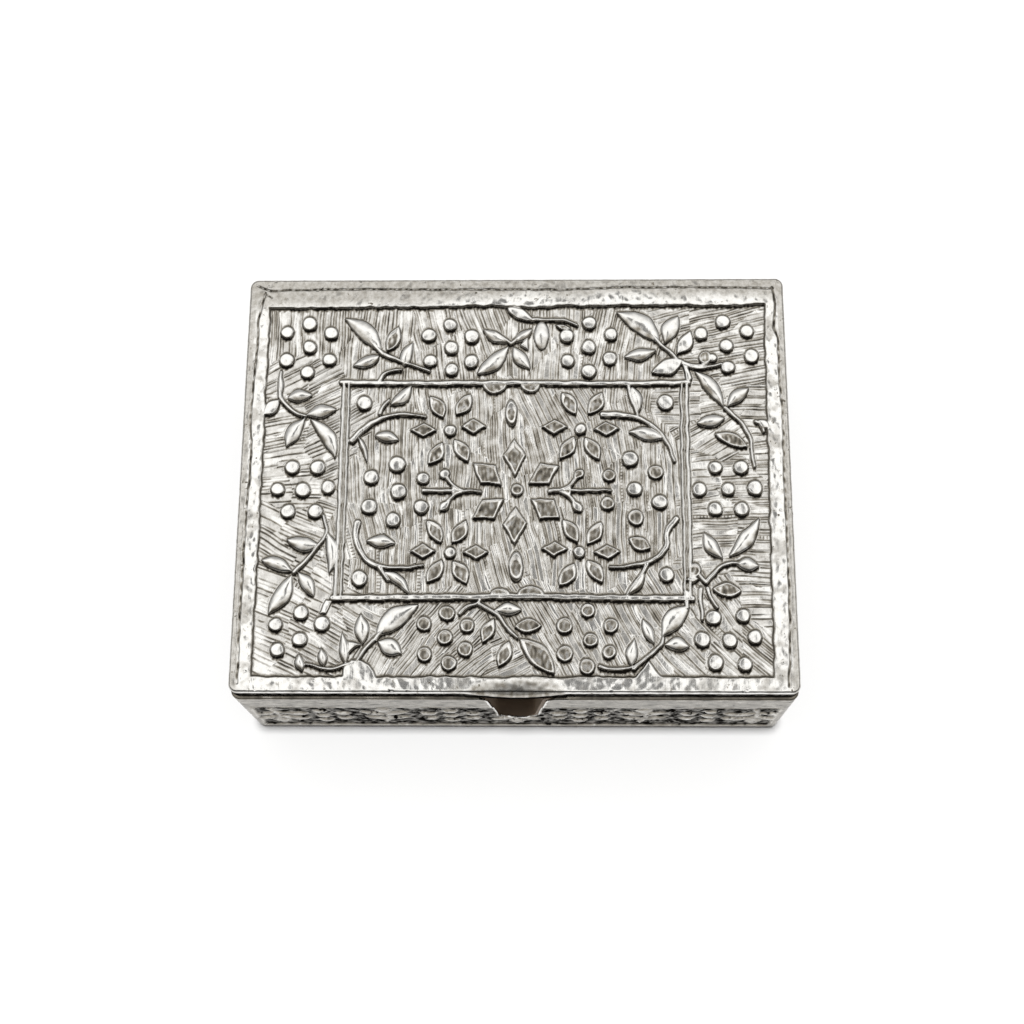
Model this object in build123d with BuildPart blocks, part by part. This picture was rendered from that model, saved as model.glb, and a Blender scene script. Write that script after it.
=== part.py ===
from build123d import *
import math
import os

os.makedirs("parts", exist_ok=True)

# A rosary box: a wooden box and lid, both covered with thin embossed metal sheet, lined with
# velvet, and hinged at the back on two small butt hinges.  A thumb notch in the front wall
# leaves room to lift the lid.
#
# Frame: X to the right, Y to the back, Z up.  The origin is on the table, under the middle.

# ---------------------------------------------------------------- driving dimensions (mm)
box_width = 100.0            # outside of the base, left to right
box_depth = 79.0             # outside of the base, front to back
base_height = 29.2           # table to the metal rim of the walls
lid_thickness = 3.4          # underside of the lid to its plain border
parting_gap = 0.4            # daylight between rim and lid
lid_side_reveal = 0.1        # base stands this far proud of the lid at the sides
lid_front_reveal = 0.5       # and this far at the front

sheet = 0.4                  # the embossed metal sheet
wall_wood = 4.6              # the wooden walls
floor_wood = 3.0             # the wooden bottom
velvet = 0.7                 # velvet on its paper backing
felt = 0.9                   # felt under the bottom
metal_lift = 0.5             # the metal's lower edge clears the table by this much
return_width = 3.2           # the sheet is folded this far over the wood's edges

corner_radius = 1.6          # upright corners of the covered base and lid
base_bottom_fold = 0.6       # the sheet's fold round the lower edges
rim_fold = 0.25              # the sheet's fold at the rim
lid_roll_radius = 1.2        # the rolled edge of the lid sheet

hinge_length = 16.0
hinge_spacing = 58.0         # between the middles of the two hinges
leaf_thickness = 0.6
leaf_width = 3.6             # pin centre to the leaf's free edge
knuckle_radius = 1.2
knuckle_count = 3            # two on the base leaf and one on the lid leaf
knuckle_play = 0.2           # between neighbouring knuckles
pin_radius = 0.5
pin_running_clearance = 0.05
pin_seat_clearance = 0.02
pin_head_radius = 0.8
pin_head_height = 0.3
pin_inset = 1.25             # pin centre to the back face of the box
hinge_mortise_play = 0.3     # round the barrel, in the wood and the sheet
fastener_flats = 12          # small round shanks and heads are drawn with this many flats
stop_angle = 108.0           # the bevelled back edges meet here
nail_shank_radius = 0.4
nail_head_radius = 0.75
nail_head_height = 0.35
nail_point_length = 0.6
nail_play = 0.02
nail_spacing = 9.6
base_nail_length = 7.0
lid_nail_length = 2.4

notch_top_width = 10.4       # the thumb notch, between its shoulders
notch_bottom_width = 6.8
notch_depth = 18.6           # below the rim
notch_offset = 0.5           # its middle stands right of the box's middle
notch_floor_radius = 2.8
notch_shoulder = 1.5

# ---------------------------------------------------------------- levels and places
half_width = box_width / 2
half_depth = box_depth / 2
board_bottom = metal_lift + sheet
floor_top = board_bottom + floor_wood
wood_top = base_height - sheet
lid_bottom = base_height + parting_gap
lid_top = lid_bottom + lid_thickness
field_recess = 0.25          # the embossed ground lies this far below the plain borders
board_height = lid_thickness - 2 * sheet - field_recess + 0.05
lid_board_bottom = lid_bottom + sheet
lid_board_top = lid_board_bottom + board_height
lid_width = box_width - 2 * lid_side_reveal
lid_front = -half_depth + lid_front_reveal
lid_depth = half_depth - lid_front
lid_middle = (half_depth + lid_front) / 2
inside_wood_x = half_width - sheet - wall_wood
inside_wood_y = half_depth - sheet - wall_wood
pin_y = half_depth - pin_inset
pin_z = base_height + parting_gap / 2
hinge_places = (-hinge_spacing / 2, hinge_spacing / 2)
hinge_sides = ("left", "right")
leaf_edge = pin_y - leaf_width
nail_y = pin_y - knuckle_radius - 1.25


def save(part, name):
    """Label a finished piece and write it to its own STEP file."""
    part.label = name
    export_step(part, "parts/" + name + ".step")


def rounded_block(width, front, back, bottom, top, radius):
    """A block with rounded upright corners, made apart from any builder."""
    with BuildPart() as block:
        with BuildSketch(Plane.XY.offset(bottom)):
            with Locations((0, (front + back) / 2)):
                RectangleRounded(width, back - front, radius)
        extrude(amount=top - bottom)
    return block.part


def straight_block(x_range, y_range, z_range):
    """A plain block between the given limits, made apart from any builder."""
    with BuildPart() as block:
        with BuildSketch(Plane.XY.offset(z_range[0])):
            with Locations(((x_range[0] + x_range[1]) / 2, (y_range[0] + y_range[1]) / 2)):
                Rectangle(x_range[1] - x_range[0], y_range[1] - y_range[0])
        extrude(amount=z_range[1] - z_range[0])
    return block.part


def bevel_wedge(setback):
    """The wedge that the stop bevels leave open behind the pin, with its faces moved inwards.

    Both faces of the wedge start at the pin and lean away from the parting plane by half the
    stop angle, so they meet when the lid has opened by the whole of it.
    """
    lean = math.radians(stop_angle / 2)
    start = pin_y - setback / math.sin(lean)
    reach = half_depth + 1.0
    rise = (reach - start) * math.tan(lean)
    with BuildPart() as wedge:
        with BuildSketch(Plane.YZ.offset(-half_width - 1)):
            Polygon((start, pin_z), (reach, pin_z - rise), (reach, pin_z + rise), align=None)
        extrude(amount=box_width + 2)
    return wedge.part


def barrel_room():
    """The two chiselled slots that the hinge barrels turn in, open at the box's back face."""
    slot_half_height = knuckle_radius + hinge_mortise_play
    slot_front = pin_y - slot_half_height
    slot_back = half_depth + 1
    slot_length = hinge_length + 2 * (pin_head_height + hinge_mortise_play)
    with BuildPart() as room:
        with BuildSketch(Plane.XY.offset(pin_z - slot_half_height)):
            with Locations(*[(middle, (slot_front + slot_back) / 2) for middle in hinge_places]):
                Rectangle(slot_length, slot_back - slot_front)
        extrude(amount=2 * slot_half_height)
    return room.part


def leaf_mortise(low, high):
    """The two shallow beds for the hinge leaves, between two heights."""
    with BuildPart() as beds:
        with BuildSketch(Plane.XY.offset(low)):
            with Locations(*[(middle, (leaf_edge + pin_y) / 2) for middle in hinge_places]):
                Rectangle(hinge_length, leaf_width)
        extrude(amount=high - low)
    return beds.part


def hinge_nails(head_level, length, downwards, play):
    """The four countersunk nails of one side of both hinges, or with play their holes."""
    direction = (0, 0, -1) if downwards else (0, 0, 1)
    nail_plane = Plane(origin=(0, nail_y, head_level), x_dir=(1, 0, 0), z_dir=direction)
    nail_spots = [
        (middle + offset, 0)
        for middle in hinge_places
        for offset in (-nail_spacing / 2, nail_spacing / 2)
    ]
    with BuildPart() as nails:
        with BuildSketch(nail_plane):
            with Locations(*nail_spots):
                RegularPolygon(nail_shank_radius + play, fastener_flats)
        extrude(amount=length - nail_point_length)
        with BuildSketch(nail_plane):
            with Locations(*nail_spots):
                RegularPolygon(nail_head_radius + play, fastener_flats)
        extrude(amount=nail_head_height, taper=45)
        with BuildSketch(nail_plane.offset(length - nail_point_length)):
            with Locations(*nail_spots):
                RegularPolygon(nail_shank_radius + play, fastener_flats)
        extrude(amount=nail_point_length, taper=30)
    return nails.part


def notch_cutter(front, back):
    """The thumb notch as a solid: a rounded trapezoid with flared shoulders."""
    top_half = notch_top_width / 2
    bottom_half = notch_bottom_width / 2
    floor = base_height - notch_depth
    flare = notch_shoulder
    with BuildPart() as cutter:
        with BuildSketch(Plane.XZ.offset(-back)):
            with Locations((notch_offset, 0)):
                with BuildLine():
                    outline = FilletPolyline(
                        (-top_half - flare, base_height + 2),
                        (-top_half - flare, base_height - 0.02),
                        (-top_half, base_height - flare),
                        (-bottom_half, floor),
                        (bottom_half, floor),
                        (top_half, base_height - flare),
                        (top_half + flare, base_height - 0.02),
                        (top_half + flare, base_height + 2),
                        radius=(0.5, flare, notch_floor_radius, notch_floor_radius, flare, 0.5),
                    )
                    Line(outline @ 1, outline @ 0)
                make_face()
        extrude(amount=back - front)
    return cutter.part


def leaf_corners(base, tip, width):
    """The corners of an embossed leaf: its base, its tip and the widest place between them."""
    middle = ((base[0] + tip[0]) / 2, (base[1] + tip[1]) / 2)
    scale = width / 2 / math.dist(base, tip)
    across = ((base[1] - tip[1]) * scale, (tip[0] - base[0]) * scale)
    right = (middle[0] - across[0], middle[1] - across[1])
    left = (middle[0] + across[0], middle[1] + across[1])
    return (base, right, tip, left)


# ---------------------------------------------------------------- wooden base
wedge = bevel_wedge(0)
wood_wedge = bevel_wedge(sheet)
barrels = barrel_room()
base_beds = leaf_mortise(base_height - leaf_thickness, base_height + 1)
lid_beds = leaf_mortise(lid_bottom - 1, lid_bottom + leaf_thickness)
base_nail_room = hinge_nails(base_height, base_nail_length, downwards=True, play=nail_play)
lid_nail_room = hinge_nails(lid_bottom, lid_nail_length, downwards=False, play=nail_play)
notch = notch_cutter(-half_depth - 1, -inside_wood_y + velvet + 1)
wood_radius = corner_radius - sheet

with BuildPart() as bottom_board:
    with BuildSketch(Plane.XY.offset(board_bottom)):
        RectangleRounded(box_width - 2 * sheet, box_depth - 2 * sheet, wood_radius)
    extrude(amount=floor_wood)
    chamfer(bottom_board.faces().sort_by(Axis.Z)[0].edges(), base_bottom_fold)
save(bottom_board.part, "bottom_board")

# the outside of the four walls, with the stop bevel along the back
with BuildPart() as wall_blank:
    add(
        rounded_block(
            box_width - 2 * sheet,
            -half_depth + sheet,
            half_depth - sheet,
            floor_top,
            wood_top,
            wood_radius,
        )
    )
    add(wood_wedge, mode=Mode.SUBTRACT)
base_blank = wall_blank.part

with BuildPart() as front_wall:
    add(base_blank)
    add(
        straight_block((-half_width, half_width), (-inside_wood_y, half_depth), (0, lid_top)),
        mode=Mode.SUBTRACT,
    )
    add(notch, mode=Mode.SUBTRACT)
save(front_wall.part, "front_wall")

with BuildPart() as back_wall:
    add(base_blank)
    add(
        straight_block((-half_width, half_width), (-half_depth, inside_wood_y), (0, lid_top)),
        mode=Mode.SUBTRACT,
    )
    add(barrels, mode=Mode.SUBTRACT)
    add(base_beds, mode=Mode.SUBTRACT)
    add(base_nail_room, mode=Mode.SUBTRACT)
save(back_wall.part, "back_wall")

for name, side in (("left_wall", -1), ("right_wall", 1)):
    with BuildPart() as side_wall:
        with BuildSketch(Plane.XY.offset(floor_top)):
            with Locations((side * (inside_wood_x + wall_wood / 2), 0)):
                Rectangle(wall_wood, 2 * inside_wood_y)
        extrude(amount=wood_top - floor_top)
    save(side_wall.part, name)

# ---------------------------------------------------------------- metal cover of the base
# One sheet for each side.  The front and back sheets turn round the corners and the side
# sheets butt against them.  Every sheet is folded over the rim and under the bottom.
seam_y = half_depth - sheet - return_width - 0.3
panel_inset = 2.2            # plain margin at the ends and foot of each embossed panel
panel_top = 20.6             # the plain band above runs up to the rim
panel_recess = 0.15

with BuildPart() as base_cover:
    with BuildSketch(Plane.XY.offset(metal_lift)):
        RectangleRounded(box_width, box_depth, corner_radius)
    extrude(amount=base_height - metal_lift)
    chamfer(base_cover.faces().sort_by(Axis.Z)[0].edges(), base_bottom_fold)
    chamfer(base_cover.faces().sort_by(Axis.Z)[-1].edges(), rim_fold)
    add(bottom_board.part, mode=Mode.SUBTRACT)
    add(base_blank, mode=Mode.SUBTRACT)
    with BuildSketch(Plane.XY.offset(metal_lift - 1)):
        Rectangle(
            box_width - 2 * (sheet + return_width),
            box_depth - 2 * (sheet + return_width),
        )
    extrude(amount=base_height + 2, mode=Mode.SUBTRACT)
    # the embossed ground of the four sides, a little below their plain borders
    panel_middle = (panel_top + metal_lift + panel_inset) / 2
    panel_height = panel_top - metal_lift - panel_inset
    with BuildSketch(Plane.XZ.offset(half_depth - panel_recess)):
        with Locations((0, panel_middle)):
            Rectangle(box_width - 2 * panel_inset, panel_height)
    extrude(amount=1, mode=Mode.SUBTRACT)
    with BuildSketch(Plane.XZ.offset(-half_depth + panel_recess)):
        with Locations((0, panel_middle)):
            Rectangle(box_width - 2 * panel_inset, panel_height)
    extrude(amount=-1, mode=Mode.SUBTRACT)
    for side in (-1, 1):
        with BuildSketch(Plane.YZ.offset(side * (half_width - panel_recess))):
            with Locations((0, panel_middle)):
                Rectangle(box_depth - 2 * panel_inset, panel_height)
        extrude(amount=side, mode=Mode.SUBTRACT)

cover_regions = {
    "front_cover": ((-half_width - 1, half_width + 1), (-half_depth - 1, -seam_y)),
    "back_cover": ((-half_width - 1, half_width + 1), (seam_y, half_depth + 1)),
    "left_cover": ((-half_width - 1, 0), (-seam_y, seam_y)),
    "right_cover": ((0, half_width + 1), (-seam_y, seam_y)),
}
for name, (x_range, y_range) in cover_regions.items():
    with BuildPart() as cover:
        add(base_cover.part)
        add(straight_block(x_range, y_range, (0, lid_top)), mode=Mode.INTERSECT)
        if name == "front_cover":
            add(notch, mode=Mode.SUBTRACT)
        if name == "back_cover":
            add(wedge, mode=Mode.SUBTRACT)
            add(barrels, mode=Mode.SUBTRACT)
            add(base_beds, mode=Mode.SUBTRACT)
    save(cover.part, name)

# ---------------------------------------------------------------- felt and velvet of the base
felt_margin = 5.0
with BuildPart() as base_felt:
    with BuildSketch(Plane.XY):
        RectangleRounded(box_width - 2 * felt_margin, box_depth - 2 * felt_margin, 2.0)
    extrude(amount=felt)
save(base_felt.part, "base_felt")

with BuildPart() as floor_lining:
    with BuildSketch(Plane.XY.offset(floor_top)):
        Rectangle(2 * inside_wood_x, 2 * inside_wood_y)
    extrude(amount=velvet)
save(floor_lining.part, "floor_lining")

lining_bottom = floor_top + velvet
inside_x = inside_wood_x - velvet
inside_y = inside_wood_y - velvet

with BuildPart() as front_lining:
    with BuildSketch(Plane.XY.offset(lining_bottom)):
        with Locations((0, -inside_y - velvet / 2)):
            Rectangle(2 * inside_wood_x, velvet)
    extrude(amount=wood_top - lining_bottom)
    add(notch, mode=Mode.SUBTRACT)
save(front_lining.part, "front_lining")

with BuildPart() as back_lining:
    with BuildSketch(Plane.XY.offset(lining_bottom)):
        with Locations((0, inside_y + velvet / 2)):
            Rectangle(2 * inside_wood_x, velvet)
    extrude(amount=wood_top - leaf_thickness - lining_bottom)
save(back_lining.part, "back_lining")

for name, side in (("left_lining", -1), ("right_lining", 1)):
    with BuildPart() as side_lining:
        with BuildSketch(Plane.XY.offset(lining_bottom)):
            with Locations((side * (inside_x + velvet / 2), 0)):
                Rectangle(velvet, 2 * inside_y)
        extrude(amount=wood_top - lining_bottom)
    save(side_lining.part, name)

# ---------------------------------------------------------------- lid
with BuildPart() as board_blank:
    add(
        rounded_block(
            lid_width - 2 * sheet,
            lid_front + sheet,
            half_depth - sheet,
            lid_board_bottom,
            lid_board_top,
            wood_radius,
        )
    )
    chamfer(board_blank.faces().sort_by(Axis.Z)[-1].edges(), lid_roll_radius - sheet)
    add(wood_wedge, mode=Mode.SUBTRACT)
lid_blank = board_blank.part

with BuildPart() as lid_board:
    add(lid_blank)
    add(barrels, mode=Mode.SUBTRACT)
    add(lid_beds, mode=Mode.SUBTRACT)
    add(lid_nail_room, mode=Mode.SUBTRACT)
save(lid_board.part, "lid_board")

# The lid sheet's design: a plain burnished border, a sunk ground, a raised frame round a
# centre panel, a six-petalled star, four rosettes and groups of round bosses.
ground_width = 91.4
ground_depth = 70.2
ground_middle = (0.0, lid_middle - 0.9)
ground = lid_top - field_recess
frame_outer = (64.6, 41.6)
frame_rib = 1.5
frame_middle = (-0.3, -1.2)
rib_height = 0.35
star_middle = (0.4, -1.3)
star_petals = (
    ((-0.2, 8.6), (-2.3, 5.2), (-0.1, 1.2), (2.0, 5.2)),
    ((-7.9, 4.0), (-6.4, -0.1), (-2.5, -0.4), (-3.4, 3.4)),
    ((8.1, 3.4), (4.4, 4.0), (2.2, -0.2), (6.2, -0.2)),
    ((-6.1, -3.0), (-7.8, -6.8), (-3.7, -6.8), (-1.9, -2.8)),
    ((2.7, -2.8), (4.4, -7.0), (8.1, -6.6), (7.2, -3.0)),
    ((0.1, -4.4), (-2.3, -7.8), (-0.1, -11.6), (2.3, -7.6)),
)
rosette_petal_size = (4.2, 2.6)
rosette_petal_radius = 4.9
rosette_middles = ((-12.2, 10.2), (11.7, 10.4), (-12.0, -13.4), (11.6, -13.4))
petal_height = 0.3
# the leaves of the sprigs: base, tip and greatest width
leaves = (
    # inside the frame
    ((-25.6, 9.2), (-21.4, 8.4), 2.4),
    ((-23.2, 15.2), (-19.6, 17.8), 2.4),
    ((25.6, 8.8), (20.7, 9.8), 2.6),
    ((-26.6, -11.0), (-21.4, -11.2), 2.5),
    ((-22.6, -16.8), (-19.6, -19.6), 2.0),
    ((24.3, -12.4), (20.4, -10.4), 2.6),
    ((-0.8, 16.2), (-0.8, 11.0), 2.2),
    ((0.2, -12.8), (0.2, -18.4), 2.6),
    # behind the frame
    ((-25.6, 26.0), (-31.8, 32.0), 3.4),
    ((-24.0, 26.2), (-22.0, 30.8), 2.6),
    ((-25.8, 24.4), (-30.4, 22.9), 2.2),
    ((-20.9, 23.0), (-19.5, 27.4), 2.3),
    ((-1.8, 27.8), (-6.2, 30.2), 2.0),
    ((-1.6, 26.4), (-5.6, 22.4), 2.8),
    ((0.0, 26.2), (2.6, 22.2), 2.4),
    ((4.6, 31.0), (4.4, 25.4), 2.4),
    ((26.4, 27.6), (19.4, 33.2), 3.6),
    ((27.8, 27.8), (30.2, 32.6), 2.6),
    ((29.8, 25.2), (31.6, 29.0), 2.2),
    ((25.4, 25.8), (20.8, 24.6), 2.4),
    # left of the frame
    ((-42.0, 16.6), (-37.6, 17.0), 2.5),
    ((-38.2, 13.6), (-33.4, 14.4), 2.6),
    ((-39.0, 12.0), (-41.6, 7.2), 2.7),
    ((-37.4, 11.6), (-34.4, 6.4), 2.4),
    ((-40.4, -16.0), (-45.0, -14.4), 2.4),
    ((-40.2, -17.4), (-43.6, -23.4), 3.0),
    ((-38.6, -17.2), (-36.0, -21.0), 2.4),
    ((-36.0, -12.2), (-41.0, -10.8), 2.6),
    # in front of the frame
    ((-25.6, -28.6), (-28.9, -24.9), 2.7),
    ((-23.0, -28.0), (-18.6, -24.2), 3.0),
    ((-23.6, -29.8), (-19.7, -31.6), 2.8),
    ((-3.4, -23.9), (1.2, -23.7), 2.2),
    ((0.2, -26.7), (4.9, -26.5), 2.5),
    ((-3.8, -25.6), (-5.6, -29.4), 2.3),
    ((-1.0, -29.6), (-2.7, -33.8), 2.4),
    ((1.2, -29.4), (6.0, -34.0), 3.4),
    ((24.4, -28.8), (22.5, -25.6), 2.2),
    ((26.4, -28.0), (30.4, -23.6), 3.2),
    ((26.8, -30.2), (30.9, -30.4), 2.5),
    # right of the frame
    ((37.6, 15.4), (33.8, 20.4), 2.5),
    ((39.4, 15.2), (42.6, 18.0), 2.3),
    ((37.8, 12.4), (34.0, 11.6), 2.2),
    ((41.8, 7.2), (37.2, 9.2), 2.4),
    ((36.8, -13.8), (34.4, -10.2), 2.3),
    ((38.6, -13.6), (42.8, -8.2), 2.5),
    ((39.8, -15.2), (43.6, -15.8), 2.4),
    ((35.6, -19.8), (40.3, -20.2), 2.7),
)
leaf_height = 0.3
boss_radius = 1.35
boss_group_radius = 4.8
upright_groups = (
    (-38.8, 26.6), (-12.4, 26.6), (13.4, 26.6), (39.2, 26.9),
    (-38.6, -28.9), (-12.4, -28.6), (12.9, -28.9), (-21.8, -1.7), (21.4, -1.2),
)
level_groups = ((-39.0, -1.3), (38.6, -1.0), (38.0, -28.9))
boss_height = 0.4
boss_flats = 8               # the round bosses are drawn with this many flats
side_lean = 35.0             # the raised work's sides lean in by this angle
lip_width = 11.0             # the thumb lip, where the front edge bends forward over the notch

with BuildPart() as lid_cover:
    add(
        rounded_block(lid_width, lid_front, half_depth, lid_bottom, lid_top, corner_radius)
    )
    fillet(lid_cover.faces().sort_by(Axis.Z)[-1].edges(), lid_roll_radius)
    # thumb lip
    with BuildSketch(Plane.XY.offset(lid_bottom)):
        with BuildLine():
            left_end = (notch_offset - lip_width / 2, lid_front)
            right_end = (notch_offset + lip_width / 2, lid_front)
            lip_tip = (notch_offset, lid_front - lid_front_reveal)
            ThreePointArc(left_end, lip_tip, right_end)
            Polyline(right_end, (right_end[0], lid_front + 1), (left_end[0], lid_front + 1), left_end)
        make_face()
    extrude(amount=lid_thickness - lid_roll_radius)
    # sunk ground
    with BuildSketch(Plane.XY.offset(ground)):
        with Locations(ground_middle):
            Rectangle(ground_width, ground_depth)
    extrude(amount=field_recess + 1, mode=Mode.SUBTRACT)
    # raised frame
    with BuildSketch(Plane.XY.offset(ground)):
        with Locations(frame_middle):
            Rectangle(*frame_outer)
            Rectangle(
                frame_outer[0] - 2 * frame_rib, frame_outer[1] - 2 * frame_rib, mode=Mode.SUBTRACT
            )
    extrude(amount=rib_height, taper=side_lean)
    # star and rosettes
    with BuildSketch(Plane.XY.offset(ground)):
        for corners in star_petals:
            Polygon(*corners, align=None)
        with Locations(*rosette_middles):
            with PolarLocations(rosette_petal_radius, 6):
                Polygon(
                    (-rosette_petal_size[0] / 2, 0),
                    (0, -rosette_petal_size[1] / 2),
                    (rosette_petal_size[0] / 2, 0),
                    (0, rosette_petal_size[1] / 2),
                    align=None,
                )
    extrude(amount=petal_height, taper=side_lean)
    # leaves
    with BuildSketch(Plane.XY.offset(ground)):
        for base, tip, width in leaves:
            Polygon(*leaf_corners(base, tip, width), align=None)
    extrude(amount=leaf_height, taper=side_lean)
    # round bosses
    with BuildSketch(Plane.XY.offset(ground)):
        with Locations(*upright_groups):
            RegularPolygon(boss_radius, boss_flats)
            with PolarLocations(boss_group_radius, 6, start_angle=30):
                RegularPolygon(boss_radius, boss_flats)
        with Locations(*level_groups):
            RegularPolygon(boss_radius, boss_flats)
            with PolarLocations(boss_group_radius, 6):
                RegularPolygon(boss_radius, boss_flats)
        with Locations(star_middle, *rosette_middles):
            RegularPolygon(boss_radius, boss_flats)
    extrude(amount=boss_height, taper=side_lean)
    # hollow for the board, open underneath inside the folded margin
    add(lid_blank, mode=Mode.SUBTRACT)
    with BuildSketch(Plane.XY.offset(lid_bottom - 1)):
        with Locations((0, lid_middle)):
            Rectangle(
                lid_width - 2 * (sheet + return_width),
                lid_depth - 2 * (sheet + return_width),
            )
    extrude(amount=1 + sheet, mode=Mode.SUBTRACT)
    add(wedge, mode=Mode.SUBTRACT)
    add(barrels, mode=Mode.SUBTRACT)
    add(lid_beds, mode=Mode.SUBTRACT)
save(lid_cover.part, "lid_cover")

lid_lining_play = 1.0        # the lid's velvet clears the walls' velvet by this much
with BuildPart() as lid_lining:
    with BuildSketch(Plane.XY.offset(lid_board_bottom - 1.1)):
        RectangleRounded(2 * (inside_x - lid_lining_play), 2 * (inside_y - lid_lining_play), 1.0)
    extrude(amount=1.1)
save(lid_lining.part, "lid_lining")

# ---------------------------------------------------------------- hinges
knuckle_pitch = hinge_length / knuckle_count


def hinge_leaf(middle, leaf_low, leaf_high, first_knuckle, bore_radius, nail_room):
    """A hinge leaf: a plate with every second knuckle, drilled for the pin and two nails."""
    with BuildPart() as leaf:
        with BuildSketch(Plane.XY.offset(leaf_low)):
            with Locations((middle, (leaf_edge + pin_y) / 2)):
                Rectangle(hinge_length, leaf_width)
        extrude(amount=leaf_high - leaf_low)
        # the plate stops short of the other leaf's knuckles
        for knuckle in range(1 - first_knuckle, knuckle_count, 2):
            gap_start = middle - hinge_length / 2 + knuckle * knuckle_pitch - knuckle_play / 2
            with BuildSketch(Plane.YZ.offset(gap_start)):
                with Locations((pin_y, pin_z)):
                    Circle(knuckle_radius + knuckle_play)
            extrude(amount=knuckle_pitch + knuckle_play, mode=Mode.SUBTRACT)
        for knuckle in range(first_knuckle, knuckle_count, 2):
            start = knuckle * knuckle_pitch + knuckle_play / 2
            end = (knuckle + 1) * knuckle_pitch - knuckle_play / 2
            if knuckle == 0:
                start = 0
            if knuckle == knuckle_count - 1:
                end = hinge_length
            with BuildSketch(Plane.YZ.offset(middle - hinge_length / 2 + start)):
                with Locations((pin_y, pin_z)):
                    Circle(knuckle_radius)
            extrude(amount=end - start)
        with BuildSketch(Plane.YZ.offset(middle - hinge_length / 2 - 1)):
            with Locations((pin_y, pin_z)):
                Circle(bore_radius)
        extrude(amount=hinge_length + 2, mode=Mode.SUBTRACT)
        add(nail_room, mode=Mode.SUBTRACT)
    return leaf.part


for side, middle in zip(hinge_sides, hinge_places):
    save(
        hinge_leaf(middle, base_height - leaf_thickness, base_height, 0,
                   pin_radius + pin_seat_clearance, base_nail_room),
        side + "_hinge_base_leaf",
    )
    save(
        hinge_leaf(middle, lid_bottom, lid_bottom + leaf_thickness, 1,
                   pin_radius + pin_running_clearance, lid_nail_room),
        side + "_hinge_lid_leaf",
    )
    with BuildPart() as hinge_pin:
        with BuildSketch(Plane.YZ.offset(middle - hinge_length / 2)):
            with Locations((pin_y, pin_z)):
                Circle(pin_radius)
        extrude(amount=hinge_length)
        for end in (-1, 1):
            with BuildSketch(Plane.YZ.offset(middle + end * hinge_length / 2)):
                with Locations((pin_y, pin_z)):
                    Circle(pin_head_radius)
            extrude(amount=end * pin_head_height)
    save(hinge_pin.part, side + "_hinge_pin")

save(
    hinge_nails(base_height, base_nail_length, downwards=True, play=0),
    "hinge_base_nails",
)
save(
    hinge_nails(lid_bottom, lid_nail_length, downwards=False, play=0),
    "hinge_lid_nails",
)
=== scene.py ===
"""A rosary box: embossed silvery sheet over a wooden box and lid, lined with velvet."""

import logging
import math
from dataclasses import dataclass, field
from enum import Enum

import bmesh
import bpy
import numpy as np
from mathutils import Matrix, Vector


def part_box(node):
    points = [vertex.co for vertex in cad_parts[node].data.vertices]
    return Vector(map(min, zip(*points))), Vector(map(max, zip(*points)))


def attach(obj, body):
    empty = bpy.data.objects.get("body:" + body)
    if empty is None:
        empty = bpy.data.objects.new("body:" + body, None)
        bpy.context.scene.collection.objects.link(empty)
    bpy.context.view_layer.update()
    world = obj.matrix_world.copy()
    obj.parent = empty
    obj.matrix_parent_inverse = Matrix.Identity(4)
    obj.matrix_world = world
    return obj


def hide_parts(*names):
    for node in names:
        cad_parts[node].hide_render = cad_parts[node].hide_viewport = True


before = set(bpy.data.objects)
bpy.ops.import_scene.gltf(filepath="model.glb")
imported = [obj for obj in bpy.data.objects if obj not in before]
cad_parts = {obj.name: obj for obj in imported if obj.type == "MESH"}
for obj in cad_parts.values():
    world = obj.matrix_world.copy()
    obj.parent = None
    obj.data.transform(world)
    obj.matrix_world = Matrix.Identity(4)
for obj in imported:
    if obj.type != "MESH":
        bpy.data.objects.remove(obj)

Array = np.ndarray
Point = tuple[float, float]
Piece = bpy.types.Object
Finish = bpy.types.Material
Tree = bpy.types.NodeTree

MM = 0.001
LOG = logging.getLogger("rosary_box")


# ---- numbers shared by all pieces
def smooth(value: Array) -> Array:
    """The smoothstep curve 3t^2 - 2t^3 of t held between 0 and 1."""
    t = np.clip(value, 0.0, 1.0)
    return t * t * (3.0 - 2.0 * t)


def cloud(x: Array, y: Array, size: float, seed: int) -> Array:
    """Soft noise from -1 to 1, with no grain of its own lattice.

    Each point of a turned square lattice has a random direction.  The noise is the offset from
    each corner times its direction, blended by 6t^5 - 15t^4 + 10t^3.

    Args:
        x: Positions along the first axis, in mm.
        y: Positions along the second.
        size: Lattice spacing in mm, which is the size of one blotch.
        seed: Picks the directions and the lattice's turn.
    """
    turn = 0.7 + 1.3 * seed
    u = (x * math.cos(turn) - y * math.sin(turn)) / size
    v = (x * math.sin(turn) + y * math.cos(turn)) / size
    column, row = np.floor(u).astype(int), np.floor(v).astype(int)
    u, v = u - column, v - row
    column, row = column - column.min(), row - row.min()
    way = np.random.default_rng(seed).uniform(0, 2 * math.pi, (row.max() + 2, column.max() + 2))
    way_x, way_y = np.cos(way), np.sin(way)
    blend_u, blend_v = (t * t * t * (t * (6 * t - 15) + 10) for t in (u, v))
    total = np.zeros(np.shape(u))
    for right, share_u in ((0, 1 - blend_u), (1, blend_u)):
        for up, share_v in ((0, 1 - blend_v), (1, blend_v)):
            corner = (row + up, column + right)
            total += share_u * share_v * (way_x[corner] * (u - right) + way_y[corner] * (v - up))
    return np.clip(1.7 * total, -1, 1)


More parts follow.
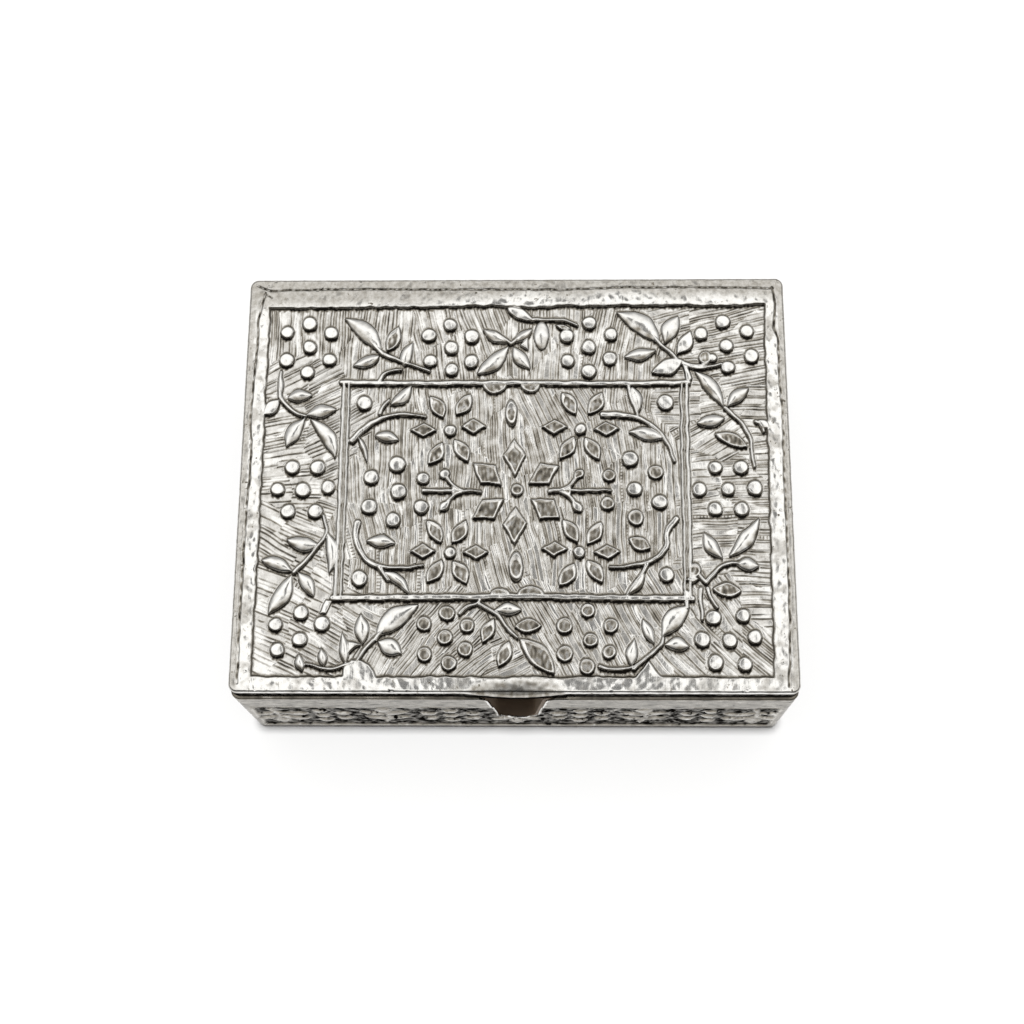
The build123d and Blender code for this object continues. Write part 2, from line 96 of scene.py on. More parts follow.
def specks(x: Array, y: Array, size: float, common: Array | float, seed: int) -> Array:
    """Ragged spots, from 0 to 1: warped noise of one size, plus coarser noise, over a level.

    Args:
        x: Positions along the first axis, in mm.
        y: Positions along the second.
        size: Rough size of one spot in mm.
        common: How common they are, from 0, very rare, to 1, everywhere.
        seed: Picks their places.
    """
    warped_x = x + 0.5 * size * cloud(x, y, 0.7 * size, seed + 1)
    warped_y = y + 0.5 * size * cloud(x, y, 0.7 * size, seed + 2)
    noise = cloud(warped_x, warped_y, size, seed) + 0.7 * cloud(warped_x, warped_y, 3.7 * size, seed + 3)
    return smooth((noise - 1.25 * (1 - common)) / 0.22)


def rounded_path(corners: tuple[Point, ...], radii: tuple[float, ...], steps: int) -> Array:
    """An open path through corners, with each inner corner replaced by a circle arc.

    The arc touches both straight runs at radius * tan(turn / 2) from the corner.

    Args:
        corners: The path's corners in mm.
        radii: One radius for each corner except the first and last.
        steps: Points on each arc.
    """
    points = [np.array(corners[0], float)]
    for before, corner, after, radius in zip(corners, corners[1:], corners[2:], radii):
        here = np.array(corner, float)
        back = np.array(before, float) - here
        ahead = np.array(after, float) - here
        back, ahead = back / np.linalg.norm(back), ahead / np.linalg.norm(ahead)
        opening = math.acos(float(np.clip(back @ ahead, -1, 1)))
        reach = radius / math.tan(opening / 2)
        middle = here + (back + ahead) / np.linalg.norm(back + ahead) * radius / math.sin(opening / 2)
        start, end = here + back * reach - middle, here + ahead * reach - middle
        first = math.atan2(start[1], start[0])
        turn = (math.atan2(end[1], end[0]) - first + math.pi) % (2 * math.pi) - math.pi
        angles = first + turn * np.linspace(0, 1, steps)
        points.extend(middle + radius * np.stack([np.cos(angles), np.sin(angles)], 1))
    points.append(np.array(corners[-1], float))
    return np.array(points)


# ---- embossing tools
class Work(Enum):
    """How a raised shape is worked: edge height share, edge width, crown kind, sunk middle.

    The four numbers are the share of the height gained at the steep edge, the width of that
    edge in mm, the power of the crown above it, and the depth in mm of a sunk flat middle.
    """

    BOSS = (0.94, 0.34, 2.0, 0.0)
    LEAF = (0.30, 0.30, 2.0, 0.0)
    RIMMED = (1.00, 0.30, 1.0, 0.075)
    STEM = (0.92, 0.28, 2.0, 0.0)
    PLATE = (0.90, 0.32, 2.0, 0.0)


@dataclass
class Relief:
    """A height field in mm over a rectangle, embossed with hand tools.

    Attributes:
        xs: Sample positions along the first axis, in mm.
        ys: Sample positions along the second axis, in mm.
        seed: Picks this sheet's irregularities.
        tremble: How far the hand strays from the drawn line, in mm.
    """

    xs: Array
    ys: Array
    seed: int
    tremble: float = 0.13
    plain_x: Array = field(init=False)
    plain_y: Array = field(init=False)
    x: Array = field(init=False)
    y: Array = field(init=False)
    ground: Array = field(init=False)
    rubbed: Array = field(init=False)
    lines: Array = field(init=False)
    inked: Array = field(init=False)
    raised: Array = field(init=False)
    cover: Array = field(init=False)

    def __post_init__(self) -> None:
        """Lay out the samples, shifted by the tremble of the hand."""
        self.plain_x, self.plain_y = np.meshgrid(self.xs, self.ys)
        self.x = self.plain_x + self.tremble * cloud(self.plain_x, self.plain_y, 2.3, self.seed)
        self.y = self.plain_y + self.tremble * cloud(self.plain_x, self.plain_y, 2.1, self.seed + 1)
        for layer in ("ground", "rubbed", "lines", "inked", "raised", "cover"):
            setattr(self, layer, np.zeros_like(self.x))

    def window(self, points: Array, margin: float) -> tuple[slice, slice]:
        """The rows and columns of samples within a margin of some points."""
        low, high = points.min(0) - margin, points.max(0) + margin
        columns = slice(*np.searchsorted(self.xs, (low[0], high[0])))
        rows = slice(*np.searchsorted(self.ys, (low[1], high[1])))
        return rows, columns

    def stamp(self, at: tuple[slice, slice], inside: Array, half: Array | float, height: Array | float,
              work: Work) -> None:
        """Raise a shape from how far inside its outline each sample lies.

        The edge rises as 1 - (1 - d/edge)^1.8, the crown as 1 - (1 - d/half)^power, and a
        sunk middle falls by smoothstep beyond the edge, more gently at its back, and keeps a
        thin film of stain.  The ground's tool marks stop a little outside the outline.

        Args:
            at: The window of samples.
            inside: Distance inside the outline in mm, negative outside.
            half: Distance from the outline to the shape's middle line, in mm.
            height: Full height in mm.
            work: How the shape is worked.
        """
        share, edge, power, sunk = work.value
        rise = 1 - (1 - np.clip(inside / np.minimum(edge, half), 0, 1)) ** 1.8
        crown = 1 - (1 - np.clip(inside / half, 0, 1)) ** power
        level = height * (share * rise + (1 - share) * crown)
        within = inside > 0
        behind = self.y[at] - (self.y[at] * within).sum() / max(int(within.sum()), 1)
        middle = smooth((inside - 0.20) / (0.30 + 0.50 * smooth(behind / np.max(half))))
        level = level - sunk * middle
        self.inked[at] = np.maximum(self.inked[at], (sunk > 0) * 0.60 * smooth((middle - 0.80) / 0.20))
        cover = smooth((inside + 0.26) / 0.22)
        self.raised[at] = np.where(inside > 0, np.maximum(self.raised[at], level), self.raised[at])
        self.cover[at] = np.maximum(self.cover[at], cover)

    def oval(self, x: float, y: float, half_x: float, half_y: float, height: float, work: Work,
             kept: int = 0) -> None:
        """Raise an ellipse; inside is (1 - sqrt((dx/a)^2 + (dy/b)^2)) times the lesser half.

        Args:
            x: The middle's x in mm.
            y: The middle's y.
            half_x: Half the width.
            half_y: Half the depth.
            height: Height in mm.
            work: How the ellipse is worked.
            kept: 1 keeps only its back half, -1 only its front half, and 0 both.
        """
        at = self.window(np.array([(x - half_x, y - half_y), (x + half_x, y + half_y)]), 0.6)
        away = np.hypot((self.x[at] - x) / half_x, (self.y[at] - y) / half_y)
        half = min(half_x, half_y)
        inside = (1 - away) * half
        if kept:
            inside = np.minimum(inside, kept * (self.y[at] - y) + 0.05)
        self.stamp(at, inside, half, height, work)

    def dots(self, places: list[Point], radius: float, height: float, work: Work) -> None:
        """Raise round dots, each a few percent larger or smaller than the next."""
        sizes = radius * (1 + 0.05 * np.sin(np.arange(len(places)) * 2.4 + self.seed))
        for (x, y), size in zip(places, sizes):
            self.oval(x, y, float(size), float(size), height, work)

    def facet(self, corners: list[Point], height: float, work: Work) -> None:
        """Raise a convex petal; inside is the least distance to any of its sides."""
        outline = np.array(corners, float)
        at = self.window(outline, 0.6)
        middle = outline.mean(0)
        inside = np.full(self.x[at].shape, np.inf)
        half = np.inf
        for start, end in zip(outline, np.roll(outline, -1, axis=0)):
            along = (end - start) / np.linalg.norm(end - start)
            normal = np.array([-along[1], along[0]])
            normal = normal * np.sign((middle - start) @ normal)
            side = (self.x[at] - start[0]) * normal[0] + (self.y[at] - start[1]) * normal[1]
            inside = np.minimum(inside, side)
            half = min(half, float((middle - start) @ normal))
        self.stamp(at, inside, half, height, work)

    def leaf(self, base: Point, tip: Point, width: float, height: float, work: Work,
             bend: float = 0.0, peak: float = 0.5) -> None:
        """Raise a leaf whose half width is h = w/2 * sin(pi * u^a)^0.85 at the share u of its length.

        Its crown falls from the middle line to the sides of that width, and is lower where the
        leaf is narrow, as 0.3 + 0.7 * (2h / w)^0.7.

        Args:
            base: Where the leaf leaves its stem, in mm.
            tip: The leaf's point.
            width: Widest across, in mm.
            height: Height in mm.
            work: How the leaf is worked.
            bend: How far the middle line bows to the left, as a share of the length.
            peak: The share of the length at which it is widest.
        """
        start, end = np.array(base, float), np.array(tip, float)
        length = float(np.linalg.norm(end - start))
        along = (end - start) / length
        at = self.window(np.array([start, end]), width / 2 + abs(bend) * length + 0.6)
        dx, dy = self.x[at] - start[0], self.y[at] - start[1]
        u = (dx * along[0] + dy * along[1]) / length
        across = dy * along[0] - dx * along[1]
        held = np.clip(u, 0, 1)
        across = across - bend * length * 4 * held * (1 - held)
        power = math.log(0.5) / math.log(peak)
        half_width = width / 2 * np.sin(np.pi * held ** power) ** 0.85
        beyond = np.maximum(np.maximum(-u, u - 1), 0) * length
        inside = (half_width - np.abs(across)) * 0.9 - beyond
        narrow = np.maximum(half_width, 0.06)
        if work is Work.LEAF:
            self.stamp(at, inside, 0.9 * narrow, height * (0.3 + 0.7 * (2 * narrow / width) ** 0.7), work)
        else:
            self.stamp(at, inside, width / 2, height, work)

    def stem(self, points: list[Point], width: float, height: float, work: Work = Work.STEM,
             end: float = 0.55) -> None:
        """Raise a stem along a smooth curve; inside is half its width less the distance to it.

        The curve is the points' polyline with its corners cut at the quarters three times.
        The width falls from its full value at the start to a share of it at the end.
        """
        line = np.array(points, float)
        for _ in range(3 if len(points) > 2 else 0):
            near = line[:-1] * 0.75 + line[1:] * 0.25
            far = line[:-1] * 0.25 + line[1:] * 0.75
            middle = np.stack([near, far], 1).reshape(-1, 2)
            line = np.vstack([line[:1], middle, line[-1:]])
        at = self.window(line, width / 2 + 0.6)
        away, share = self.distance(at, line)
        half = width / 2 * (1 - (1 - end) * share)
        self.stamp(at, half - away, width / 2, height, work)

    def distance(self, at: tuple[slice, slice], line: Array) -> tuple[Array, Array]:
        """Distance in mm from each sample to a polyline, and the share of it walked there."""
        nearest = np.full(self.x[at].shape, np.inf)
        walked = np.zeros(nearest.shape)
        lengths = np.linalg.norm(np.diff(line, axis=0), axis=1)
        before = 0.0
        for start, end, length in zip(line[:-1], line[1:], lengths):
            run = end - start
            dx, dy = self.x[at] - start[0], self.y[at] - start[1]
            share = np.clip((dx * run[0] + dy * run[1]) / max(float(run @ run), 1e-9), 0, 1)
            away = np.hypot(dx - share * run[0], dy - share * run[1])
            walked = np.where(away < nearest, before + share * length, walked)
            nearest = np.minimum(nearest, away)
            before += length
        return nearest, walked / max(before, 1e-9)

    def groove(self, points: list[Point], width: float, depth: float, ink: float = 0.0) -> None:
        """Press a line down into what is there: depth * (1 - (distance / half width)^2).

        Stain stays in it by the share ink, falling off in the same way.
        """
        line = np.array(points, float)
        at = self.window(line, width / 2 + 0.3)
        share = np.clip(1 - (self.distance(at, line)[0] / (width / 2)) ** 2, 0, 1)
        self.raised[at] -= depth * share
        self.inked[at] = np.maximum(self.inked[at], ink * share)

    def hatch(self, seeds: Array, pitch: float, depth: float) -> None:
        """Cover the ground with ruled tool marks, in patches that each have their own lean.

        A patch is where its seed is nearest.  With d the distance in mm to the nearest valley, a
        ridge's height is a * (1 - (1 - d / 0.24)^2), and stain lies in the valley as
        (1 - d / 0.22)^1.2 * coarseness^0.6.  A few ridges are beaded, and streaks are rubbed.

        Args:
            seeds: Rows of x, y, the lean in degrees rightwards from the second axis, and how
                coarse the patch's marks are.
            pitch: Mean distance between two lines where that is 1, in mm.
            depth: Depth of the deepest valleys, in mm.
        """
        x, y = self.plain_x, self.plain_y
        nearest = np.full(x.shape, np.inf)
        patch = np.zeros(x.shape, int)
        stray_x = x + 1.6 * cloud(x, y, 5.0, self.seed + 2)
        stray_y = y + 1.6 * cloud(x, y, 5.0, self.seed + 3)
        for number, (seed_x, seed_y) in enumerate(seeds[:, :2]):
            away = np.hypot(stray_x - seed_x, stray_y - seed_y)
            patch = np.where(away < nearest, number, patch)
            nearest = np.minimum(nearest, away)
        lean, coarse = np.radians(seeds[:, 2])[patch], seeds[:, 3][patch]
        waver = 0.22 * cloud(x, y, 6.0, self.seed + 4) + 0.04 * cloud(x, y, 1.5, self.seed + 5)
        across = (x * np.cos(lean) - y * np.sin(lean) + waver) / coarse + 7.3 * patch
        along = x * np.sin(lean) + y * np.cos(lean)
        across = across - across.min()
        random = np.random.default_rng(self.seed + 6)
        count = int(across.max() / pitch * 1.3) + 8
        widths = pitch * random.choice([0.6, 0.7, 0.8, 0.95, 1.1, 1.5, 2.2], count)
        starts = np.concatenate([[0.0], np.cumsum(widths)])
        ridge = np.searchsorted(starts, across, side="right") - 1
        u = 2 * (across - starts[ridge]) / widths[ridge] - 1
        inner = (1 - np.abs(u)) * widths[ridge] * coarse / 2
        swell = 0.8 + 0.3 * cloud(along, 2.0 * across, 3.0, self.seed + 7)
        tall = random.uniform(0.4, 1.0, count)[ridge] * swell
        depths = np.concatenate([[0.5], random.choice([0.45, 0.75, 1.0, 1.0], count)])
        filled = np.where(u < 0, depths[ridge], depths[ridge + 1])
        beaded = (random.random(count) < 0.025)[ridge] * smooth(np.sin(along * 2 * np.pi / 0.62) - 0.1)
        streak = smooth((cloud(along / 6.0, across, 1.1, self.seed + 8) - 0.18) / 0.4)
        self.rubbed = streak
        fading = np.clip(0.9 + 0.5 * cloud(along / 4, across, 0.9, self.seed + 9), 0, 1)
        valley = np.clip(1 - inner / 0.22, 0, 1) ** 1.2
        self.lines = valley * filled * fading * (1 - 0.4 * streak) * coarse ** 0.6
        self.lines = np.maximum(self.lines, 0.8 * beaded * (np.abs(u) < 0.6))
        domed = 1 - (1 - np.clip(inner / 0.24, 0, 1)) ** 2
        self.ground = depth * (tall * domed * (1 - 0.6 * streak) + 0.35 * streak - 0.5)

    def border(self, outside: Array, level: float, fade: float) -> None:
        """Lift everything beyond a line to a plain level, over a short slope.

        Args:
            outside: Distance in mm beyond the line, negative within the field.
            level: Height of the plain border above the ground, in mm.
            fade: Width of the slope in mm.
        """
        share = smooth(outside / fade + 0.5)
        self.cover = np.maximum(self.cover, smooth((outside + 0.15) / 0.3))
        self.raised = np.maximum(self.raised, 0) * (1 - share) + np.maximum(self.raised, level) * share

    def heights(self) -> Array:
        """The worked sheet: tool marks where nothing is raised, and the raised shapes."""
        moat = -0.07 * self.cover * (self.raised < 0.02)
        dinted = 0.022 * cloud(self.plain_x, self.plain_y, 1.4, self.seed + 13) * smooth(self.raised / 0.2)
        return self.ground * (1 - self.cover) + moat + dinted + self.raised

    def foot_patina_and_shadow(self) -> tuple[Array, Array]:
        """Painted shadow along the fronts of raised shapes, and patina with painted shade round the rest.

        With d the distance in mm to a shape right behind a sample, the painted front shadow is
        1.7 - d / r, where the reach r wavers.  A shape in front counts as 1.4 - d / 0.5, and one
        beside it as 1 - d / 0.4, patina at the foot with painted shade reaching further behind.
        The steep front sides themselves are painted dark as shade too.
        """
        shape = smooth((self.raised - 0.05) / 0.10)
        reach = 0.50 * (1 + 0.45 * cloud(self.plain_x, self.plain_y, 0.55, self.seed + 14))
        # front: painted shadow in front of each shape; other: patina at the foot, with painted shade reaching
        # further behind
        front, other = np.zeros_like(shape), np.zeros_like(shape)
        cell = float(self.ys[1] - self.ys[0])
        for step in range(1, int(1.1 / cell) + 1):
            away = step * cell
            front[:-step] = np.maximum(front[:-step], shape[step:] * (1.7 - away / reach[:-step]))
            other[step:] = np.maximum(other[step:], shape[:-step] * (1.4 - away / 0.5))
            aside = max(1 - away / 0.4, 0)
            other[:, :-step] = np.maximum(other[:, :-step], shape[:, step:] * aside)
            other[:, step:] = np.maximum(other[:, step:], shape[:, :-step] * aside)
        # painted shade on the steep slopes that face the front
        steep = smooth((np.gradient(self.raised, cell, axis=0) - 0.7) / 0.6)
        front = np.maximum(np.clip(front, 0, 1) * (1 - shape), steep)
        return front, np.clip(other, 0, 1) * (1 - shape)


def sampled(values: Array, xs: Array, ys: Array, x: Array, y: Array) -> Array:
    """Values of an evenly spaced grid at any points, blended between its four neighbours."""
    u = np.clip((x - xs[0]) / (xs[1] - xs[0]), 0, len(xs) - 1.001)
    v = np.clip((y - ys[0]) / (ys[1] - ys[0]), 0, len(ys) - 1.001)
    column, row = u.astype(int), v.astype(int)
    fu, fv = u - column, v - row
    near = values[row, column] * (1 - fu) + values[row, column + 1] * fu
    far = values[row + 1, column] * (1 - fu) + values[row + 1, column + 1] * fu
    return near * (1 - fv) + far * fv


# ---- meshes
def grid_faces(rows: int, columns: int, wrap_rows: bool = False, wrap_columns: bool = False) -> Array:
    """The quads of a grid of vertices stored row by row, closed round on itself if asked."""
    row = np.arange(rows if wrap_rows else rows - 1)[:, None]
    column = np.arange(columns if wrap_columns else columns - 1)[None, :]
    next_row, next_column = (row + 1) % rows, (column + 1) % columns
    corners = [
        row * columns + column,
        row * columns + next_column,
        next_row * columns + next_column,
        next_row * columns + column,
    ]
    return np.stack([np.broadcast_to(c, (row.size, column.size)) for c in corners], -1).reshape(-1, 4)


def new_mesh(name: str, vertices: Array, loops: list[Array]) -> Piece:
    """Make an object from vertices in mm and blocks of faces.

    Args:
        name: The piece's name.
        vertices: Rows of x, y, z in mm.
        loops: Blocks of faces, each with a fixed number of corners per row.

    Returns:
        The linked object, at the origin.
    """
    mesh = bpy.data.meshes.new(name)
    mesh.vertices.add(len(vertices))
    mesh.vertices.foreach_set("co", (np.asarray(vertices) * MM).astype(np.float32).ravel())
    corners = np.concatenate([block.ravel() for block in loops]).astype(np.int32)
    sizes = np.concatenate([np.full(len(block), block.shape[1]) for block in loops])
    mesh.loops.add(len(corners))
    mesh.loops.foreach_set("vertex_index", corners)
    mesh.polygons.add(len(sizes))
    starts = np.concatenate([[0], np.cumsum(sizes)[:-1]]).astype(np.int32)
    mesh.polygons.foreach_set("loop_start", starts)
    mesh.update(calc_edges=True)
    made = bpy.data.objects.new(name, mesh)
    bpy.context.scene.collection.objects.link(made)
    return made


def paint(piece: Piece, name: str, values: Array) -> None:
    """Store one number per vertex under a name that the piece's material reads."""
    layer = piece.data.attributes.new(name, "FLOAT", "POINT")
    layer.data.foreach_set("value", np.asarray(values, np.float32).ravel())


def welded(piece: Piece, sharp: float | None) -> None:
    """Merge coincident vertices, turn every face outwards and shade the piece smooth.

    Args:
        piece: A closed mesh.
        sharp: Edges bent by more than this many degrees stay sharp; None smooths all.
    """
    worked = bmesh.new()
    worked.from_mesh(piece.data)
    bmesh.ops.remove_doubles(worked, verts=worked.verts, dist=1e-7)
    bmesh.ops.dissolve_degenerate(worked, edges=worked.edges, dist=1e-7)
    bmesh.ops.recalc_face_normals(worked, faces=worked.faces)
    worked.to_mesh(piece.data)
    worked.free()
    piece.data.shade_smooth()
    if sharp is not None:
        piece.data.set_sharp_from_angle(angle=math.radians(sharp))


def dress(piece: Piece, material: Finish) -> None:
    """Give every face of a piece one material, and report the piece."""
    piece.data.materials.clear()
    piece.data.materials.append(material)
    LOG.info("%s: %d faces in %s", piece.name, len(piece.data.polygons), material.name)


# ---- finishes
def linear(code: str) -> tuple[float, float, float, float]:
    """An sRGB hex colour as linear red, green, blue and full alpha."""
    parts = [int(code.lstrip("#")[i:i + 2], 16) / 255 for i in (0, 2, 4)]
    turned = [c / 12.92 if c <= 0.04045 else ((c + 0.055) / 1.055) ** 2.4 for c in parts]
    return (turned[0], turned[1], turned[2], 1.0)


def add_node(tree: Tree, kind: str, inputs: dict | None = None, **settings: object) -> bpy.types.Node:
    """Add a node, set its properties, and fill or link its inputs.

    Args:
        tree: The node tree.
        kind: The node's type name.
        inputs: For each input's name or number, a value, another node's output socket, or
            another node, which gives its first output.
        settings: The node's own properties.
    """
    made = tree.nodes.new(kind)
    for name, value in settings.items():
        setattr(made, name, value)
    for key, value in (inputs or {}).items():
        if isinstance(value, bpy.types.Node):
            value = value.outputs[0]
        if isinstance(value, bpy.types.NodeSocket):
            tree.links.new(value, made.inputs[key])
        else:
            made.inputs[key].default_value = value
    return made


def blank_material(name: str) -> tuple[Finish, Tree, bpy.types.NodeSocket]:
    """A new material without nodes but one: (material, tree, place on the piece)."""
    material = bpy.data.materials.new(name)
    material.use_nodes = True
    tree = material.node_tree
    tree.nodes.clear()
    return material, tree, add_node(tree, "ShaderNodeTexCoord").outputs["Object"]


def shade(tree: Tree, inputs: dict) -> None:
    """Add the shader with these inputs, and the output after it."""
    shader = add_node(tree, "ShaderNodeBsdfPrincipled", inputs)
    add_node(tree, "ShaderNodeOutputMaterial", {"Surface": shader})


@dataclass(frozen=True)
class EmbossedSheet:
    """Thin aluminium-tin sheet, embossed by hand, stained dark and rubbed bright again."""

    # Gives the eye: high places that are almost mirrors, a thin warm grey film on the ground,
    # matt near-black where the stain lies deep and where shadow is painted in, and fine scratches over both.

    bright: str = "#f1f0ed"
    dulled: str = "#918b80"
    stain: str = "#0d0b09"
    bright_roughness: float = 0.12
    stain_roughness: float = 0.42
    black_from: float = 0.92
    speckle_size: float = 0.9
    scratch_spacing: float = 0.35
    dent_size: float = 1.3

    def material(self) -> Finish:
        """Build the material; it reads the piece's own "stain" attribute, which holds stain and painted
        shade.
        """
        material, tree, place = blank_material("embossed_aluminium_sheet")
        stained = add_node(tree, "ShaderNodeAttribute", attribute_name="stain").outputs["Fac"]
        speckle = add_node(tree, "ShaderNodeTexNoise", {
            "Vector": place, "Scale": 1 / (self.speckle_size * MM), "Detail": 4.0, "Roughness": 0.65})
        rubbed = add_node(tree, "ShaderNodeMapRange", {
            "Value": speckle, "From Min": 0.35, "From Max": 0.75, "To Min": -0.08, "To Max": 0.12})
        depth = add_node(tree, "ShaderNodeMath", {0: stained, 1: rubbed}, operation="ADD", use_clamp=True)
        film = add_node(tree, "ShaderNodeValToRGB", {0: depth})
        film.color_ramp.elements.new(0.5).color = linear(self.dulled)
        film.color_ramp.elements[0].color = linear(self.bright)
        film.color_ramp.elements[-1].color = linear(self.stain)
        film.color_ramp.elements[-1].position = self.black_from
        dull = add_node(tree, "ShaderNodeMapRange", {
            "Value": depth, "To Min": self.bright_roughness, "To Max": self.stain_roughness})
        stretched = add_node(tree, "ShaderNodeMapping", {
            "Vector": place, "Scale": (1.0, 0.12, 1.0), "Rotation": (0, 0, 0.6)})
        scratches = add_node(tree, "ShaderNodeTexNoise", {
            "Vector": stretched, "Scale": 1 / (self.scratch_spacing * MM), "Detail": 3.0})
        dents = add_node(tree, "ShaderNodeTexNoise", {
            "Vector": place, "Scale": 1 / (self.dent_size * MM), "Detail": 2.0})
        uneven = add_node(tree, "ShaderNodeMath", {0: dents, 1: 3.0, 2: scratches}, operation="MULTIPLY_ADD")
        bump = add_node(tree, "ShaderNodeBump", {"Strength": 0.35, "Distance": 0.02 * MM, "Height": uneven})
        bare = add_node(tree, "ShaderNodeMapRange", {
            "Value": depth, "From Min": 0.70, "From Max": self.black_from, "To Min": 1.0, "To Max": 0.0})
        shade(tree, {"Base Color": film, "Roughness": dull, "Metallic": bare, "Normal": bump,
                     "Specular IOR Level": 0.0})
        return material


@dataclass(frozen=True)
class StainedWood:
    """Plain softwood boards, sawn and stained brown."""

    # Gives the eye: a dull brown with fine darker lines of late wood along one axis.

    name: str
    light: str = "#94806a"
    dark: str = "#5a4a3b"
    grain: float = 1.1
    along: tuple[float, float, float] = (0.06, 1.0, 1.0)

    def material(self) -> Finish:
        """Build the material: grain stretched along one axis, with darker late wood."""
        material, tree, place = blank_material(self.name)
        stretched = add_node(tree, "ShaderNodeMapping", {"Vector": place, "Scale": self.along})
        rings = add_node(tree, "ShaderNodeTexNoise", {
            "Vector": stretched, "Scale": 1 / (self.grain * MM), "Detail": 5.0, "Distortion": 0.6})
        colour = add_node(tree, "ShaderNodeMix", {
            0: rings, 6: linear(self.light), 7: linear(self.dark)}, data_type="RGBA").outputs[2]
        bump = add_node(tree, "ShaderNodeBump", {"Strength": 0.5, "Distance": 0.08 * MM, "Height": rings})
        shade(tree, {"Base Color": colour, "Normal": bump, "Roughness": 0.62})
        return material


@dataclass(frozen=True)
class PileCloth:
    """Cloth with a nap: woven and cut velvet, or pressed felt."""

    # Gives the eye: a deep mottled colour with no gloss, lighter at grazing angles on velvet.

    name: str
    shade: str
    lit: str
    sheen: float
    fibre: float
    brushing: float = 7.0

    def material(self) -> Finish:
        """Build the material: mottled colour, tiny fibre bumps and sheen at grazing angles."""
        material, tree, place = blank_material(self.name)
        brushed = add_node(tree, "ShaderNodeTexNoise", {
            "Vector": place, "Scale": 1 / (self.brushing * MM), "Detail": 3.0})
        fibres = add_node(tree, "ShaderNodeTexNoise", {
            "Vector": place, "Scale": 1 / (self.fibre * MM), "Detail": 4.0, "Roughness": 0.7})
        tone = add_node(tree, "ShaderNodeMath", {0: brushed, 1: fibres}, operation="MULTIPLY")
        tone = add_node(tree, "ShaderNodeMapRange", {"Value": tone, "From Min": 0.08, "From Max": 0.42})
        colour = add_node(tree, "ShaderNodeMix", {
            0: tone, 6: linear(self.shade), 7: linear(self.lit)}, data_type="RGBA").outputs[2]
        bump = add_node(tree, "ShaderNodeBump", {"Strength": 0.8, "Distance": 0.12 * MM, "Height": fibres})
        shade(tree, {
            "Base Color": colour, "Normal": bump, "Roughness": 0.95, "Specular IOR Level": 0.15,
            "Sheen Weight": self.sheen, "Sheen Roughness": 0.35, "Sheen Tint": linear(self.lit)})
        return material


@dataclass(frozen=True)
class WornMetal:
    """Small drawn or stamped metal goods: brass, or steel wire."""

    # Gives the eye: a soft metal gloss broken by brown or grey blotches of tarnish.

    name: str
    clean: str
    tarnished: str
    roughness: float
    blotch_size: float = 1.6
    grain_size: float = 0.25

    def material(self) -> Finish:
        """Build the material: blotches of tarnish and roughness, and a light grain."""
        material, tree, place = blank_material(self.name)
        blotch = add_node(tree, "ShaderNodeTexNoise", {
            "Vector": place, "Scale": 1 / (self.blotch_size * MM), "Detail": 5.0})
        worn = add_node(tree, "ShaderNodeMapRange", {"Value": blotch, "From Min": 0.42, "From Max": 0.68})
        colour = add_node(tree, "ShaderNodeMix", {
            0: worn, 6: linear(self.clean), 7: linear(self.tarnished)}, data_type="RGBA").outputs[2]
        rough = add_node(tree, "ShaderNodeMapRange", {
            "Value": worn, "To Min": self.roughness, "To Max": self.roughness + 0.25})
        grain = add_node(tree, "ShaderNodeTexNoise", {
            "Vector": place, "Scale": 1 / (self.grain_size * MM), "Detail": 2.0})
        bump = add_node(tree, "ShaderNodeBump", {"Strength": 0.3, "Distance": 0.02 * MM, "Height": grain})
        shade(tree, {"Base Color": colour, "Roughness": rough, "Normal": bump, "Metallic": 1.0})
        return material


# ---- the box's own shape
@dataclass(frozen=True)
class Outline:
    """A rounded rectangle seen from above, walked round as columns of a sheet.

    Attributes:
        half_x: Half the width in mm.
        front: The front's place on Y.
        back: The back's place on Y.
        radius: Radius of the upright corners.
    """

    half_x: float
    front: float
    back: float
    radius: float

    def column(self, at: Array, inset: Array) -> tuple[Array, Array]:
        """Points a given distance inside the outline.

        The walk starts at the middle of the front and runs to the right, round the box.  A
        corner's points keep their direction from the corner's centre.  Deeper than that centre
        the sides meet in a mitre.

        Args:
            at: Distance walked along the outline, in mm.
            inset: Distance inside the outline in mm, of any shape that fits at.

        Returns:
            The x and y of the points.
        """
        centre_x = self.half_x - self.radius
        low, high = self.front + self.radius, self.back - self.radius
        arc = self.radius * math.pi / 2
        deeper = np.maximum(inset - self.radius, 0)
        lengths = [centre_x, arc, high - low, arc, 2 * centre_x, arc, high - low, arc, centre_x]
        marks = np.concatenate([[0.0], np.cumsum(lengths)])
        walked = np.mod(at, marks[-1])
        leg = np.clip(np.searchsorted(marks, walked, side="right") - 1, 0, 8)
        step = walked - marks[leg]
        turn = step / self.radius
        corner_x = np.array([0, 1, 0, 1, 0, -1, 0, -1, 0])[leg] * (centre_x - deeper)
        corner_y = np.where((leg == 3) | (leg == 5), high - deeper, low + deeper)
        first = np.radians([0, -90, 0, 0, 0, 90, 0, 180, 0])[leg]
        reach = np.maximum(self.radius - inset, 0)
        x = corner_x + reach * np.cos(first + turn)
        y = corner_y + reach * np.sin(first + turn)
        straight = [
            (0, np.minimum(step, centre_x - deeper), self.front + inset),
            (2, self.half_x - inset, np.clip(low + step, low + deeper, high - deeper)),
            (4, np.clip(centre_x - step, deeper - centre_x, centre_x - deeper), self.back - inset),
            (6, -self.half_x + inset, np.clip(high - step, low + deeper, high - deeper)),
            (8, np.maximum(step, deeper) - centre_x, self.front + inset),
        ]
        for number, straight_x, straight_y in straight:
            x = np.where(leg == number, straight_x, x)
            y = np.where(leg == number, straight_y, y)
        return x, y

    def length(self) -> float:
        """The outline's whole length in mm."""
        return (
            4 * (self.half_x - self.radius)
            + 2 * (self.back - self.front - 2 * self.radius)
            + 2 * math.pi * self.radius
        )


